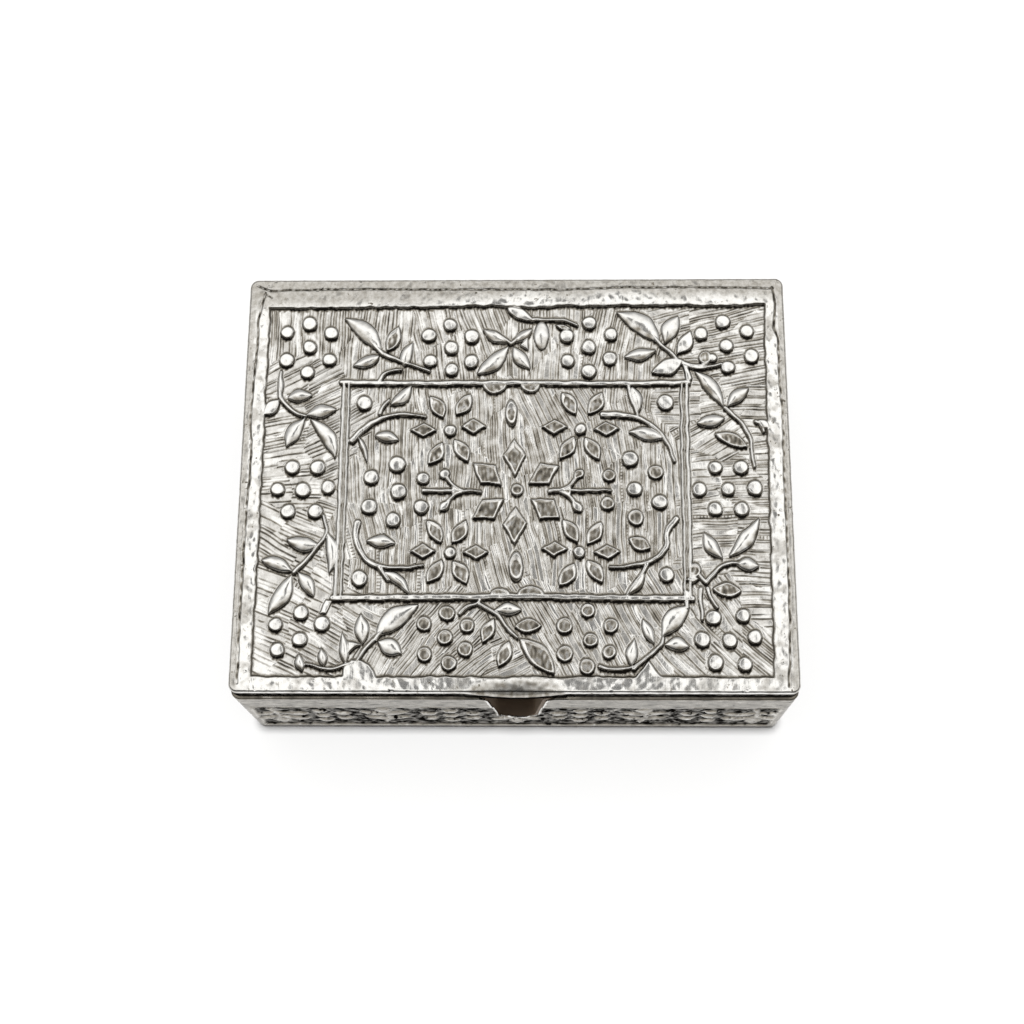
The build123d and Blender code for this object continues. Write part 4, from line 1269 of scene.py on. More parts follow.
    def wear_border(self, relief: Relief, beyond: Array) -> None:
        """Dent the plain border and press the creases where the sheet was turned down."""
        x, y = relief.x, relief.y
        plain = smooth((beyond - 0.2) / 0.6)
        calm = 1 - 0.5 * smooth((x + 22) / 8) * (y < 0)
        dents = (0.040 * cloud(x, y, 2.6, 31) + 0.020 * cloud(x, y, 1.0, 32)) * calm
        knocks = -0.10 * specks(x, y, 0.6, 0.2, 33)
        relief.raised += plain * (dents + knocks)
        moved = self.drawing.moved
        for points, width, depth in (
            ([(-47.3, 37.5), (-47.9, 35), (-48.4, 32), (-48.2, 27), (-48.7, 20), (-48.8, 15),
              (-48.9, 11.5), (-48.4, 8), (-48.4, 0), (-48.7, -5), (-48.8, -20), (-48.7, -37)], 0.5, 0.13),
            ([(47.8, 38.3), (48.4, 35), (47.9, 30), (48.6, 28), (48.5, 20), (48.9, 14),
              (48.7, 0), (48.7, -20), (48.4, -30), (47.9, -37.6)], 0.5, 0.13),
            ([(-46.3, 37.9), (-30, 38.1), (-10, 38), (8, 37.9), (19, 38.3), (33, 38.3), (48, 38.1)],
             0.45, 0.12),
            ([(-48.8, 38.8), (-46.3, 37.9)], 0.4, 0.16),
            ([(-47.3, 37.2), (-46, 36.4)], 0.4, 0.10),
        ):
            relief.groove(moved(points), width, depth, ink=0.75)

    def build(self, material: Finish) -> None:
        """Emboss the top, then make its six tiles and the rolled rim round them."""
        self.emboss()
        for piece in self.build_tiles() + [self.build_rim()]:
            dress(piece, material)
            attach(piece, "lid")
            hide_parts("lid_cover")

    def build_tiles(self) -> list[Piece]:
        """Cut the embossed top into six closed tiles, each under the limit for one mesh."""
        spare = self.spare
        columns, rows = len(self.relief.xs) - 2 * spare, len(self.relief.ys) - 2 * spare
        normal = self.normals()
        tiles = []
        for band, low, high in (("front", 0, 1), ("middle", 1, 2), ("back", 2, 3)):
            for side, left, right in (("left", 0, 1), ("right", 1, 2)):
                first_row, last_row = (spare + (rows - 1) * edge // 3 for edge in (low, high))
                first_column, last_column = (spare + (columns - 1) * edge // 2 for edge in (left, right))
                part = (slice(first_row, last_row + 1), slice(first_column, last_column + 1))
                tiles.append(self.tile(f"lid_sheet_{band}_{side}", part, normal[part]))
        return tiles

    def normals(self) -> Array:
        """Unit normals of the height field: (-dh/dx, -dh/dy, 1) made unit length."""
        along_y, along_x = np.gradient(self.level, self.relief.ys, self.relief.xs)
        raw = np.stack([-along_x, -along_y, np.ones_like(along_x)], -1)
        return raw / np.linalg.norm(raw, axis=-1, keepdims=True)

    def tile(self, name: str, part: tuple[slice, slice], normal: Array) -> Piece:
        """One closed tile: the embossed top, a straight skirt and a flat underside.

        The underside is a fan of triangles from one middle vertex to the skirt's lower edge.

        Args:
            name: The piece's name.
            part: Rows and columns of the height field.
            normal: The height field's normals over the same rows and columns.
        """
        x, y = np.meshgrid(self.relief.xs[part[1]], self.relief.ys[part[0]])
        rows, columns = x.shape
        top = np.stack([x, y, self.level[part]], -1).reshape(-1, 3)
        numbers = np.arange(rows * columns).reshape(rows, columns)
        edge = np.concatenate([numbers[0, :-1], numbers[:-1, -1], numbers[-1, :0:-1], numbers[:0:-1, 0]])
        floor = self.top - 0.55
        lower = top[edge].copy()
        lower[:, 2] = floor
        middle = np.array([[x.mean(), y.mean(), floor]])
        vertices = np.vstack([top, lower, middle])
        count = len(edge)
        below = rows * columns + np.arange(count)
        after = np.roll(np.arange(count), -1)
        skirt = np.stack([edge, below, below[after], edge[after]], 1)
        fan = np.stack([below, np.full(count, len(vertices) - 1), below[after]], 1)
        faces = grid_faces(rows, columns)
        piece = new_mesh(name, vertices, [faces, skirt, fan])
        piece.data.shade_smooth()
        stain = np.concatenate([self.stain[part].ravel(), self.stain[part].ravel()[edge], [0.0]])
        paint(piece, "stain", stain)
        facing = np.concatenate([
            normal.reshape(-1, 3)[faces.ravel()],
            np.repeat(self.side_normals(top[edge]), 4, axis=0),
            np.tile([0.0, 0.0, -1.0], (3 * count, 1)),
        ])
        piece.data.normals_split_custom_set(facing.astype(np.float32))
        return piece

    @staticmethod
    def side_normals(ring: Array) -> Array:
        """Outward normals of a skirt: each run's direction, turned a quarter clockwise."""
        run = np.roll(ring, -1, axis=0) - ring
        out = np.stack([run[:, 1], -run[:, 0], np.zeros(len(ring))], 1)
        return out / np.maximum(np.linalg.norm(out, axis=1, keepdims=True), 1e-9)

    def columns(self) -> Array:
        """Where the rim has its columns: at the tiles' samples, round each corner, at slots."""
        spare = self.spare
        centre_x = self.outline.half_x - self.outline.radius
        depth = self.outline.back - self.outline.front - 2 * self.outline.radius
        arc = self.outline.radius * math.pi / 2
        xs = self.relief.xs[spare:-spare]
        ys = self.relief.ys[spare:-spare] - self.relief.ys[spare]
        right = centre_x + arc
        back = right + depth + arc
        left = back + 2 * centre_x + arc
        turns = arc * np.linspace(0, 1, 12)[1:-1]
        slots = [
            back + centre_x - middle + side * (self.room.slot_half + nudge)
            for middle in self.room.middles for side in (-1, 1) for nudge in (-0.002, 0.002)
        ]
        walk = np.concatenate([
            xs[xs > 1e-6], centre_x + turns, right + ys, right + depth + turns,
            back + centre_x - xs[::-1], back + 2 * centre_x + turns, left + ys,
            left + depth + turns, left + depth + arc + xs[xs <= 1e-6] + centre_x, slots,
        ])
        return np.unique(np.round(walk, 6))

    def build_rim(self) -> Piece:
        """The rolled rim as one closed ring: a profile carried round the outline.

        The profile starts level beside the tiles, rolls over through a quarter circle, runs
        down, turns under by a small radius and comes back inside at the sheet's thickness.
        The bevel along the back holds Y in front of the hinge's stop faces.
        """
        top, bottom, roll, sheet = self.top, self.bottom, self.roll, self.thickness
        level = [(d, top) for d in (1.6, 1.47, 1.33, 1.15, 0.97, 0.8, 0.65)]
        angles = np.radians(np.linspace(0, 90, 9))
        rolled = list(zip(roll - roll * np.sin(angles), top - roll * (1 - np.cos(angles))))
        turn = self.turn
        side = [(0.0, z) for z in np.linspace(top - roll, bottom + turn, 8)[1:]]
        angles = np.radians((30, 60, 90))
        turned = [(turn - turn * math.cos(a), bottom + turn - turn * math.sin(a)) for a in angles]
        under = [(d, bottom) for d in np.linspace(turn, self.fold, 6)[1:]]
        inner = [
            (self.fold, bottom + sheet), (sheet, bottom + sheet), (sheet, top - roll - 0.2),
            (roll, top - 0.6), (1.6, top - 0.6),
        ]
        profile = np.array(level + rolled + side + turned + under + inner)
        at = self.columns()
        inset = np.broadcast_to(profile[:, 0], (len(at), len(profile)))
        z = np.broadcast_to(profile[:, 1], inset.shape).copy()
        x, y = self.outline.column(at[:, None], inset)
        skin = len(level) + len(rolled)
        worn = sampled(self.level + self.sunk, self.relief.xs, self.relief.ys, x[:, :skin], y[:, :skin]) - top
        kept = 1 - smooth((0.25 - inset[:, :skin]) / 0.3)
        z[:, :skin] += worn * kept
        outer = len(profile) - len(inner)
        lip = np.clip(1 - ((x - self.lip_middle) / self.lip_half) ** 2, 0, 1) ** 1.5 * (y < 0)
        forward = smooth((roll + 0.2 - inset) / (roll + 0.2)) * smooth((top + 0.1 - z) / 1.0)
        y[:, :outer] -= (self.lip_reach * lip * forward)[:, :outer]
        droop = self.lip(x, inset) * (y < 0) * smooth((z - bottom) / (top - roll - bottom))
        z[:, :outer] -= droop[:, :outer]
        buckle = 0.05 * cloud(np.repeat(at[:, None], inset.shape[1], 1), z, 2.6, 41)
        buckle = np.abs(buckle) * smooth((roll - inset) / 0.6) * smooth((z - bottom - 0.3) / 0.5)
        middle_x, middle_y = self.outline.column(at[:, None], inset + 1.0)
        x[:, :outer] += ((middle_x - x) * buckle)[:, :outer]
        y[:, :outer] += ((middle_y - y) * buckle)[:, :outer]
        y = self.room.bevelled(y, z)
        slot = self.room.in_slot(x, y)
        ceiling = self.room.pin_z + self.room.slot_rise
        low = slot & (z < ceiling)
        z = np.where(low, ceiling, z)
        y = np.where(low, np.maximum(y, self.room.metal_back), y)
        vertices = np.stack([x, y, z], -1).reshape(-1, 3)
        piece = new_mesh("lid_rim", vertices, [grid_faces(*x.shape, wrap_rows=True, wrap_columns=True)])
        patched = sampled(self.stain, self.relief.xs, self.relief.ys, x, y)
        low_down = smooth((top - 0.50 - 0.45 * smooth(lip / 0.3) - droop - z) / 0.4)
        turned_under = smooth((bottom + 1.3 + 0.5 * cloud(at[:, None] + 0 * x, z, 7.0, 43) - z) / 0.5)
        front = smooth((self.outline.front + 1.5 - y) / 0.5)
        spots = specks(x + y, z, 0.6, 0.3, 42)
        # painted shade: the lid's front face darker than its other faces; the spots are pits
        face = np.maximum(0.24 + 0.66 * front + 0.09 * front * turned_under, 0.7 * spots)
        # painted shade on the face under the lip over the notch
        face = np.maximum(face, smooth(lip / 0.3) * front)
        # painted shadow: the lowest 0.6 mm darkest, the shade in the gap between lid and base
        face = np.maximum(face, smooth((bottom + 0.6 - z) / 0.3))
        folded = smooth((inset - 0.4) / 0.3) * (z < bottom + 0.1)
        face = face * (1 - folded) + folded * (0.44 + 0.16 * cloud(x, y, 2.2, 44))
        # painted reflection: mid grey on the curl of the lip
        curled = smooth(lip / 0.25) * smooth((0.95 - inset) / 0.4) * (0.34 + 0.20 * cloud(x, y, 1.0, 45))
        paint(piece, "stain", np.clip(np.maximum(patched * (1 - low_down) + low_down * face, curled), 0, 1))
        welded(piece, 70)
        return piece


class Side(Enum):
    """The four sides of the base, as the walk round the outline meets them."""

    FRONT = "front"
    RIGHT = "right"
    BACK = "back"
    LEFT = "left"


@dataclass
class SideCover:
    """The embossed sheet on one side of the base, folded over the rim and under the bottom.

    Attributes:
        side: Which side this sheet covers.
        start: Where along the outline the sheet begins, in mm.
        end: Where it ends.
    """

    side: Side
    start: float
    end: float
    outline: Outline = Outline(50.0, -39.5, 39.5, 1.6)
    room: HingeRoom = HingeRoom()
    notch: ThumbNotch = ThumbNotch()
    bottom: float = 0.5
    top: float = 29.2
    thickness: float = 0.4
    fold: float = 3.6
    foot_fold: float = 0.6
    rim_fold: float = 0.25
    cell: float = 0.22
    field_low: float = 2.6
    field_high: float = 20.4
    field_depth: float = 0.30

    def middle(self) -> float:
        """Where along the outline this sheet's middle is."""
        return (self.start + self.end) / 2

    def half_field(self) -> float:
        """Half the length of the embossed field."""
        return 47.8 if self.side in (Side.FRONT, Side.BACK) else 37.3

    def emboss(self) -> tuple[Relief, Array, Array]:
        """Work the side's field; returns its relief, the height and the stain, which holds painted shadow
        too.
        """
        seed = {Side.FRONT: 101, Side.RIGHT: 131, Side.BACK: 161, Side.LEFT: 191}[self.side]
        half = (self.end - self.start) / 2 + 1.0
        xs = np.arange(-half, half + self.cell, self.cell)
        ys = np.arange(self.bottom - 1.0, self.top + 1.0, self.cell)
        relief = Relief(xs, ys, seed, tremble=0.15)
        self.draw(relief)
        x, y = relief.x, relief.y
        waver = 0.2 * cloud(x, y, 5.0, seed + 9)
        ends = np.maximum(self.field_low - y, y - self.field_high)
        beyond = np.maximum(np.abs(x) - self.half_field(), ends) + waver
        relief.border(beyond, self.field_depth, 0.5)
        plain = smooth(beyond / 0.6)
        relief.raised -= plain * np.abs(0.03 * cloud(x, y, 3.0, seed + 10))
        for first, last in ((-50, -42), (-40, -34), (-26, -22), (-17.5, -9.5), (9, 17), (34, 41), (46, 50)):
            low, high = (edge * self.half_field() / 50 for edge in (first, last))
            relief.groove([(low, 21.3), ((low + high) / 2, 21.1), (high, 21.3)], 0.7, 0.16, ink=0.9)
        # front: painted shadow below each raised shape, since this relief's front is downwards; other: patina
        # with painted shade round the rest
        front, other = relief.foot_patina_and_shadow()
        film = (0.80 + 0.20 * relief.lines) * (1 - relief.cover) + 0.45 * relief.cover
        film = film + 0.12 * cloud(x, y, 1.6, seed + 17) - 0.30 * specks(x, y / 2, 0.5, 0.45, seed + 12)
        film = np.maximum(film, 0.97 * specks(x, y / 2, 0.6, 0.50, seed + 16))
        streaks = 0.56 + 0.14 * cloud(x / 5, y, 0.7, seed + 15)
        worn = plain * np.maximum(streaks, 0.85 * specks(x, y, 0.7, 0.2, seed + 11))
        stain = np.maximum.reduce([film * (1 - plain), 0.97 * front, 0.8 * other, relief.inked, worn])
        if self.side is Side.FRONT:
            away = relief.distance((slice(None), slice(None)), self.notch.rim(28.8))[0]
            stain *= smooth((away - 0.20) / 0.20)
        return relief, np.minimum(relief.heights() - self.field_depth, 0.0), np.clip(stain, 0, 1)

    def draw(self, relief: Relief) -> None:
        """Emboss the side: tool marks, groups of seven dots and a sprig between each two."""
        half = self.half_field()
        random = np.random.default_rng(relief.seed)
        count = int(2 * half / 6)
        spots = np.linspace(-half, half, count)
        leans = np.where(np.arange(count) % 4 < 2, 32.0, -35.0) + random.uniform(-8, 8, count)
        seeds = np.stack([spots, random.uniform(5, 18, count), leans, np.full(count, 1.2)], 1)
        relief.hatch(seeds, 0.75, 0.15)
        groups = 4 if half > 40 else 3
        pitch = 2 * half / groups
        centre = (self.field_low + self.field_high) / 2
        for number in range(groups):
            x = -half + (number + 0.5) * pitch
            angles = np.radians(30 + 60 * np.arange(6))
            ring = [(x + 4.6 * math.cos(a), centre + 4.6 * math.sin(a)) for a in angles]
            relief.dots([(x, centre), *ring], 1.35, 0.27, Work.BOSS)
        for number in range(groups + 1):
            x = -half + number * pitch
            if abs(x) > half - 2:
                x = math.copysign(half - 3.4, x)
            up = 1 if number % 2 else -1
            self.sprig(relief, x, centre, up)

    def sprig(self, relief: Relief, x: float, y: float, up: int) -> None:
        """Emboss one sprig: a stalk with five leaves, pointing up or down."""
        relief.stem([(x - 0.6, y - 6.5 * up), (x + 0.5, y - 2.0 * up), (x, y + 4.5 * up)], 0.8, 0.24)
        for base_y, tip_x, tip_y, width in (
            (2.6, 0.0, 8.0, 2.8), (0.6, -4.6, 4.4, 2.6), (0.4, 4.5, 4.6, 2.6), (-3.4, -4.3, -0.6, 2.4),
            (-3.6, 4.4, -1.0, 2.4),
        ):
            relief.leaf((x, y + base_y * up), (x + tip_x, y + tip_y * up), width, 0.27, Work.LEAF, 0.05)

    def columns(self) -> Array:
        """Where the sheet has its columns, closer together at the notch and at the slots."""
        walk = [np.linspace(self.start, self.end, int((self.end - self.start) / self.cell) + 1)]
        half, radius = self.outline.half_x - self.outline.radius, self.outline.radius
        arc = radius * math.pi / 2
        if self.side is Side.FRONT:
            for low, high in ((-7.4, -2.6), (2.6, 7.4)):
                walk.append(np.arange(low, high, 0.1) + self.notch.middle)
        if self.side is Side.BACK:
            middle = self.middle()
            walk.extend(
                np.array([middle - x + side * (self.room.slot_half + nudge)])
                for x in self.room.middles for side in (-1, 1) for nudge in (-0.002, 0.002)
            )
        if self.side in (Side.FRONT, Side.BACK):
            for corner in (self.middle() - half - arc, self.middle() + half):
                walk.append(corner + arc * np.linspace(0, 1, 13))
        return np.unique(np.round(np.concatenate(walk), 6))

    def build(self, material: Finish) -> None:
        """The sheet as a closed strip: a profile carried along this side's part of the outline.

        The profile runs from under the bottom, round the foot, up the embossed face, over the
        rim and inwards, and returns at the sheet's thickness.
        """
        relief, height, stain = self.emboss()
        bottom, top, sheet, fold = self.bottom, self.top, self.thickness, self.fold
        foot, rim = self.foot_fold, self.rim_fold
        under = [(d, bottom) for d in np.linspace(fold, foot, 5)]
        angles = np.radians((22, 45, 68))
        foot_turn = [(foot - foot * math.sin(a), bottom + foot - foot * math.cos(a)) for a in angles]
        face_low, face_high = bottom + foot, top - rim
        rows = int((face_high - face_low) / self.cell) + 1
        face = [(0.0, z) for z in np.linspace(face_low, face_high, rows)]
        angles = np.radians((30, 60, 90))
        rim_turn = [(rim - rim * math.cos(a), face_high + rim * math.sin(a)) for a in angles]
        over = [(d, top) for d in np.linspace(rim, fold, 6)[1:]]
        inner = [
            (fold, top - sheet), (sheet, top - sheet), (sheet, bottom + sheet + foot),
            (sheet + foot, bottom + sheet), (fold, bottom + sheet),
        ]
        profile = np.array(under + foot_turn + face + rim_turn + over + inner)
        at = self.columns()
        shape = (len(at), len(profile))
        inset = np.broadcast_to(profile[:, 0], shape).copy()
        z = np.broadcast_to(profile[:, 1], shape).copy()
        place = np.repeat(at[:, None] - self.middle(), len(profile), 1)
        if self.side is Side.FRONT:
            limit = np.repeat(self.notch.top(at)[:, None], len(profile), 1)
            inside_notch = limit < top - 1e-3
            squeezed = face_low + (z - face_low) * (limit - face_low) / (face_high - face_low)
            is_face = (z > face_low) & (z <= face_high + 1e-6) & (inset < 1e-6)
            z = np.where(inside_notch & is_face, squeezed, z)
            above = inside_notch & (z > limit)
            inset = np.where(above, np.minimum(inset, sheet), inset)
            z = np.where(above, limit, z)
        outer = shape[1] - len(inner)
        on_face = smooth((z - face_low + 0.1) / 0.6) * smooth((face_high + 0.1 - z) / 0.4)
        pressed = sampled(height, relief.xs, relief.ys, place, z) * on_face
        inset[:, :outer] -= pressed[:, :outer] * (inset[:, :outer] < 0.3)
        x, y = self.outline.column(at[:, None], inset)
        y = self.room.bevelled(y, z)
        if self.side is Side.BACK:
            floor = self.room.pin_z - self.room.slot_rise
            high = self.room.in_slot(x, y) & (z > floor)
            z = np.where(high, floor, z)
            y = np.where(high, np.maximum(y, self.room.metal_back), y)
        name = f"{self.side.value}_embossed_cover"
        ring = np.arange(shape[1])[None, :]
        blocks = [grid_faces(*shape, wrap_columns=True), ring[:, ::-1], (shape[0] - 1) * shape[1] + ring]
        piece = new_mesh(name, np.stack([x, y, z], -1).reshape(-1, 3), blocks)
        mottled = smooth((cloud(place, z, 2.0, 77) + 0.2) / 0.9) * 0.12
        paint(piece, "stain", sampled(stain, relief.xs, relief.ys, place, z) + mottled)
        welded(piece, 70)
        dress(piece, material)
        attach(piece, "base")
        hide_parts(f"{self.side.value}_cover")


# ---- cloth
@dataclass
class ClothPiece:
    """A flat piece of velvet or felt: two faces that meet in a rounded edge.

    Attributes:
        name: The piece's name.
        node: The solid that it stands for.
        slot: Its material slot; not used.
        rests_on: What it is glued to; not used.
        flat_axis: 0, 1 or 2, the axis across its thickness.
        pile: How deep the nap lies, in mm.
        cell: Spacing of the samples.
    """

    name: str
    node: str
    slot: str
    rests_on: str
    flat_axis: int
    pile: float = 0.05
    cell: float = 0.6

    def build(self, material: Finish) -> None:
        """Two grids, one for each face, joined round their edge."""
        piece, size = self.surface()
        dress(piece, material)
        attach(piece, "base")
        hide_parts(self.node)

    def outline_top(self, u: Array) -> Array | None:
        """Upper limit of the piece along its length, or None where it is a plain rectangle."""
        return ThumbNotch().top(u) if self.node == "front_lining" else None

    def surface(self) -> tuple[Piece, tuple[float, float]]:
        """The closed cloth: half thickness times sqrt(1 - (1 - edge distance / round)^2).

        Returns:
            The piece, and its flat width and length in metres.
        """
        low, high = (np.array(corner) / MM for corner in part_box(self.node))
        first, second = (axis for axis in (0, 1, 2) if axis != self.flat_axis)
        us = self.samples(low[first], high[first])
        vs = self.samples(low[second], high[second])
        u, v = np.meshgrid(us, vs)
        limit = self.outline_top(u)
        if limit is not None:
            share = (v - low[second]) / (high[second] - low[second])
            v = low[second] + share * (np.minimum(limit, high[second]) - low[second])
        half = (high[self.flat_axis] - low[self.flat_axis]) / 2
        top_v = np.minimum(limit, high[second]) if limit is not None else high[second]
        edge = np.minimum(
            np.minimum(u - low[first], high[first] - u), np.minimum(v - low[second], top_v - v)
        )
        rounding = half * 1.2
        swell = half * np.sqrt(np.clip(1 - (1 - np.clip(edge / rounding, 0, 1)) ** 2, 0, 1))
        nap = self.pile * np.abs(cloud(u, v, 2.6, 5)) + 0.5 * self.pile * np.abs(cloud(u, v, 0.9, 6))
        middle = (high[self.flat_axis] + low[self.flat_axis]) / 2
        faces, vertices = [], []
        for number, side in enumerate((1, -1)):
            out = middle + side * np.maximum(swell - nap * (swell > 0.5 * half), 0)
            axes = {first: u, second: v, self.flat_axis: out}
            vertices.append(np.stack([axes[0], axes[1], axes[2]], -1).reshape(-1, 3))
            quads = grid_faces(*u.shape) + number * u.size
            faces.append(quads if number == 0 else quads[:, ::-1])
        piece = new_mesh(self.name, np.vstack(vertices), faces)
        welded(piece, None)
        return piece, ((high[first] - low[first]) * MM, (high[second] - low[second]) * MM)

    def samples(self, low: float, high: float) -> Array:
        """Sample places from low to high, close together within half a millimetre of an edge."""
        inner = np.linspace(low + 0.5, high - 0.5, max(3, int((high - low) / self.cell)))
        edge = 0.5 * (1 - np.cos(np.linspace(0, math.pi / 2, 5)))[:-1]
        return np.concatenate([low + edge, inner, (high - edge)[::-1]])


@dataclass
class LidPad:
    """The velvet pad glued under the lid: card with thin wadding, crowned downwards."""

    node: str = "lid_lining"
    corner: float = 1.0
    cell: float = 0.7

    def build(self, material: Finish) -> None:
        """A rounded rectangle mapped from a square grid, thickest in the middle.

        The thickness is t * (0.62 + 0.38 * (1 - u^4) * (1 - v^4)) with a rounded edge.
        """
        low, high = (np.array(corner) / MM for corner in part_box(self.node))
        half = (high - low) / 2
        centre = (high + low) / 2
        count_x, count_y = int(2 * half[0] / self.cell), int(2 * half[1] / self.cell)
        edge = np.array([0.0, 0.004, 0.012, 0.022])
        u, v = np.meshgrid(*(
            np.concatenate([-1 + edge, np.linspace(-0.965, 0.965, count), 1 - edge[::-1]])
            for count in (count_x, count_y)
        ))
        x, y = u * half[0], v * half[1]
        over_x = np.maximum(np.abs(x) - (half[0] - self.corner), 0)
        over_y = np.maximum(np.abs(y) - (half[1] - self.corner), 0)
        reach = np.hypot(over_x, over_y)
        share = np.where(reach > 0, np.maximum(over_x, over_y) / np.maximum(reach, 1e-9), 1.0)
        x = np.sign(x) * (np.abs(x) - over_x * (1 - share))
        y = np.sign(y) * (np.abs(y) - over_y * (1 - share))
        away = np.minimum(half[0] * (1 - np.abs(u)), half[1] * (1 - np.abs(v)))
        rounded = np.sqrt(np.clip(1 - (1 - np.clip(away / 0.8, 0, 1)) ** 2, 0, 1))
        crown = 0.62 + 0.38 * (1 - u ** 4) * (1 - v ** 4)
        nap = 0.05 * np.abs(cloud(x, y, 3.0, 8)) + 0.03 * np.abs(cloud(x, y, 1.0, 9))
        depth = (2 * half[2] * crown - nap) * rounded
        lower, upper = (
            np.stack([x + centre[0], y + centre[1], z], -1).reshape(-1, 3)
            for z in (high[2] - depth, np.full_like(x, high[2]))
        )
        quads = grid_faces(*x.shape)
        piece = new_mesh("lid_velvet_pad", np.vstack([lower, upper]), [quads[:, ::-1], quads + x.size])
        welded(piece, None)
        dress(piece, material)
        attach(piece, "lid")
        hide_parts(self.node)


# ---- stage
@dataclass
class Stage:
    """A plain pale floor, a bright soft studio round it, and the camera."""

    floor_size: float = 40.0
    floor_tone: str = "#bfbfbf"
    lamp_strength: float = 4.8
    lamp_lean: float = 1.0
    lamp_spread: float = 5.0
    elevation: float = 73.13
    yaw: float = 4.44
    roll: float = -4.27
    distance: float = 298.2
    aside: float = -0.928486
    ahead: float = -5.739982
    aim: tuple[float, float, float] = (0.0, 0.25, 31.8)
    lens: float = 57.85

    def build(self) -> None:
        """Make the floor, the studio's light and the camera."""
        for make in (self.build_floor, self.build_light, self.build_camera):
            make()

    def build_floor(self) -> None:
        """A flat square on the table plane."""
        half = self.floor_size / MM / 2
        corners = np.array([(-half, -half, 0), (half, -half, 0), (half, half, 0), (-half, half, 0)], float)
        floor = new_mesh("studio_floor", corners, [np.array([[0, 1, 2, 3]])])
        material, tree, _ = blank_material("pale_paper_floor")
        shade(tree, {"Base Color": linear(self.floor_tone), "Roughness": 0.9, "Specular IOR Level": 0.1})
        dress(floor, material)

    def build_light(self) -> None:
        """A bright dome with dim low sides, a dark board in front and a small dim patch overhead."""
        world = bpy.data.worlds.new("soft_studio")
        world.use_nodes = True
        tree = world.node_tree
        tree.nodes.clear()
        toward = add_node(tree, "ShaderNodeTexCoord").outputs["Generated"]
        parts = add_node(tree, "ShaderNodeSeparateXYZ", {0: toward})
        soft = {"interpolation_type": "SMOOTHSTEP"}
        low = add_node(tree, "ShaderNodeMapRange", {
            "Value": parts.outputs["Z"], "From Min": 0.90, "From Max": 0.58}, **soft)
        dimmed = add_node(tree, "ShaderNodeMapRange", {"Value": low, "To Min": 1.22, "To Max": 0.40})
        front = add_node(tree, "ShaderNodeMapRange", {
            "Value": parts.outputs["Y"], "From Min": 0.06, "From Max": -0.55}, **soft)
        raised = add_node(tree, "ShaderNodeMapRange", {
            "Value": parts.outputs["Z"], "From Min": 0.40, "From Max": 0.60}, **soft)
        shut = add_node(tree, "ShaderNodeMath", {0: front, 1: raised}, operation="MULTIPLY")
        keep = add_node(tree, "ShaderNodeMapRange", {"Value": shut, "To Min": 1.0, "To Max": 0.02})
        stretched = add_node(tree, "ShaderNodeMapping", {
            "Vector": toward, "Location": (0.005 / 0.09, -0.245 / 0.13, 0.0),
            "Scale": (1 / 0.09, 1 / 0.13, 0.0)})
        away = add_node(tree, "ShaderNodeVectorMath", {0: stretched}, operation="LENGTH").outputs["Value"]
        patch = add_node(tree, "ShaderNodeMapRange", {
            "Value": away, "From Min": 1.35, "From Max": 0.75, "To Min": 1.0, "To Max": 0.16}, **soft)
        first = add_node(tree, "ShaderNodeMath", {0: dimmed, 1: keep}, operation="MULTIPLY")
        strength = add_node(tree, "ShaderNodeMath", {0: first, 1: patch}, operation="MULTIPLY")
        background = add_node(tree, "ShaderNodeBackground", {
            "Color": linear("#fffefc"), "Strength": strength})
        add_node(tree, "ShaderNodeOutputWorld", {"Surface": background})
        bpy.context.scene.world = world
        data = bpy.data.lights.new("overhead_lamp", "SUN")
        data.energy = self.lamp_strength
        data.angle = math.radians(self.lamp_spread)
        lamp = bpy.data.objects.new("overhead_lamp", data)
        lamp.rotation_euler = (-math.radians(self.lamp_lean), 0.0, 0.0)
        lamp.visible_glossy = False
        bpy.context.scene.collection.objects.link(lamp)
        bpy.context.scene.view_settings.view_transform = "Standard"

    def build_camera(self) -> None:
        """The camera: turned about the aim point by yaw and elevation, then rolled."""
        e, a, r = (math.radians(v) for v in (self.elevation, self.yaw, self.roll))
        back = Vector((math.sin(a) * math.cos(e), -math.cos(a) * math.cos(e), math.sin(e)))
        right = Vector((math.cos(a), math.sin(a), 0.0))
        up = back.cross(right)
        place = back * self.distance + right * self.aside + up * self.ahead + Vector(self.aim)
        rolled_right = right * math.cos(r) + up * math.sin(r)
        rolled_up = up * math.cos(r) - right * math.sin(r)
        data = bpy.data.cameras.new("studio_camera")
        data.lens = self.lens
        data.sensor_width = 36.0
        data.clip_start, data.clip_end = 0.01, 60.0
        camera = bpy.data.objects.new("studio_camera", data)
        turn = Matrix((rolled_right, rolled_up, back)).transposed()
        camera.matrix_world = Matrix.Translation(place * MM) @ turn.to_4x4()
        bpy.context.scene.collection.objects.link(camera)
        bpy.context.scene.camera = camera


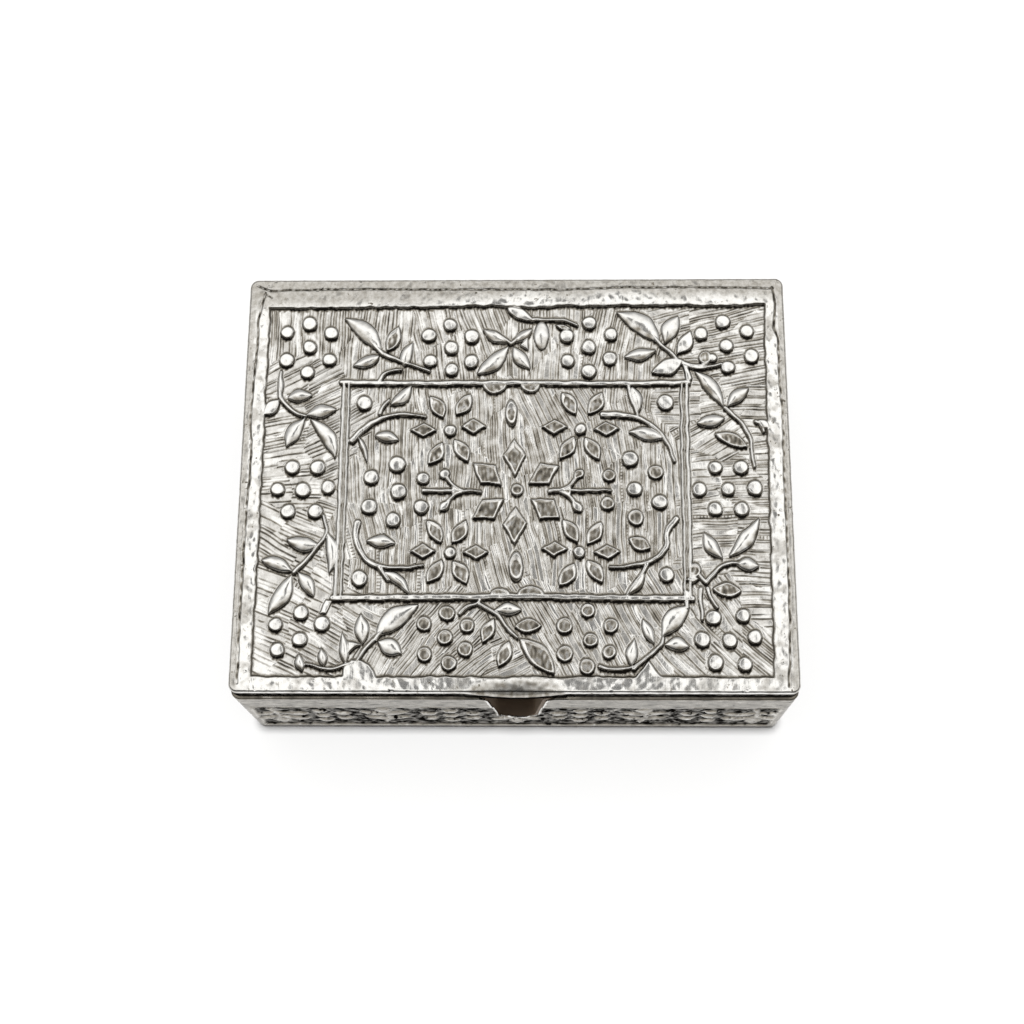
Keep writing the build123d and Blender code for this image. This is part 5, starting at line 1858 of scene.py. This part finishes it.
# ---- the whole box
@dataclass
class RosaryBox:
    """The box: its sheets, boards, linings and hinges, built in order and reported."""

    def build_covers(self) -> None:
        """The metal: the lid's sheet and the four sheets of the base."""
        metal = EmbossedSheet().material()
        LidSheet().build(metal)
        walk = Outline(50.0, -39.5, 39.5, 1.6)
        half, radius = walk.half_x - walk.radius, walk.radius
        arc = radius * math.pi / 2
        seam = 35.6
        leg = -walk.front - radius - seam
        depth = walk.back - walk.front - 2 * radius
        front_end = half + arc + leg
        back_start = half + arc + depth - leg
        back_end = back_start + 2 * leg + 2 * arc + 2 * half
        for side, start, end in (
            (Side.FRONT, -front_end, front_end),
            (Side.RIGHT, front_end, back_start),
            (Side.BACK, back_start, back_end),
            (Side.LEFT, back_end, walk.length() - front_end),
        ):
            SideCover(side, start, end).build(metal)

    def build_linings(self) -> None:
        """The cloth: velvet inside the base and lid, and felt under the bottom."""
        velvet = PileCloth("wine_red_velvet", "#430911", "#7d1726", sheen=0.6, fibre=0.35).material()
        felt = PileCloth("dark_green_felt", "#16241b", "#2b4031", sheen=0.15, fibre=0.5).material()
        for name, node, slot, rests_on, flat_axis in (
            ("floor_velvet", "floor_lining", "velvet", "bottom_board", 2),
            ("front_velvet", "front_lining", "velvet", "front_wall", 1),
            ("back_velvet", "back_lining", "velvet", "back_wall", 1),
            ("left_velvet", "left_lining", "velvet", "left_wall", 0),
            ("right_velvet", "right_lining", "velvet", "right_wall", 0),
            ("underside_felt", "base_felt", "felt", "bottom_board", 2),
        ):
            cloth = ClothPiece(name, node, slot, rests_on, flat_axis)
            cloth.build(felt if slot == "felt" else velvet)
        LidPad().build(velvet)

    def dress_solids(self) -> None:
        """The boards, hinges, pins and nails keep their own solids and get their finish."""
        length = StainedWood("stained_pine_lengthwise").material()
        depth = StainedWood("stained_pine_crosswise", along=(1.0, 0.06, 1.0)).material()
        brass = WornMetal("stamped_hinge_brass", "#c9a55c", "#6d5128", 0.30).material()
        nails = WornMetal("drawn_nail_brass", "#d2b06a", "#80602f", 0.26).material()
        steel = WornMetal("drawn_steel_wire", "#a9aaab", "#4d4a47", 0.28).material()
        for material, nodes in (
            (length, ("bottom_board", "front_wall", "back_wall", "lid_board")),
            (depth, ("left_wall", "right_wall")),
            (brass, ("left_hinge_base_leaf", "right_hinge_base_leaf", "left_hinge_lid_leaf",
                     "right_hinge_lid_leaf")),
            (steel, ("left_hinge_pin", "right_hinge_pin")),
            (nails, ("hinge_base_nails", "hinge_lid_nails")),
        ):
            for node in nodes:
                dress(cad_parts[node], material)


def main() -> None:
    """Build everything in order."""
    logging.basicConfig(level=logging.INFO, format="%(name)s %(message)s")
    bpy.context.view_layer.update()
    Stage().build()
    box = RosaryBox()
    box.dress_solids()
    box.build_covers()
    box.build_linings()


if __name__ == "__main__":
    main()
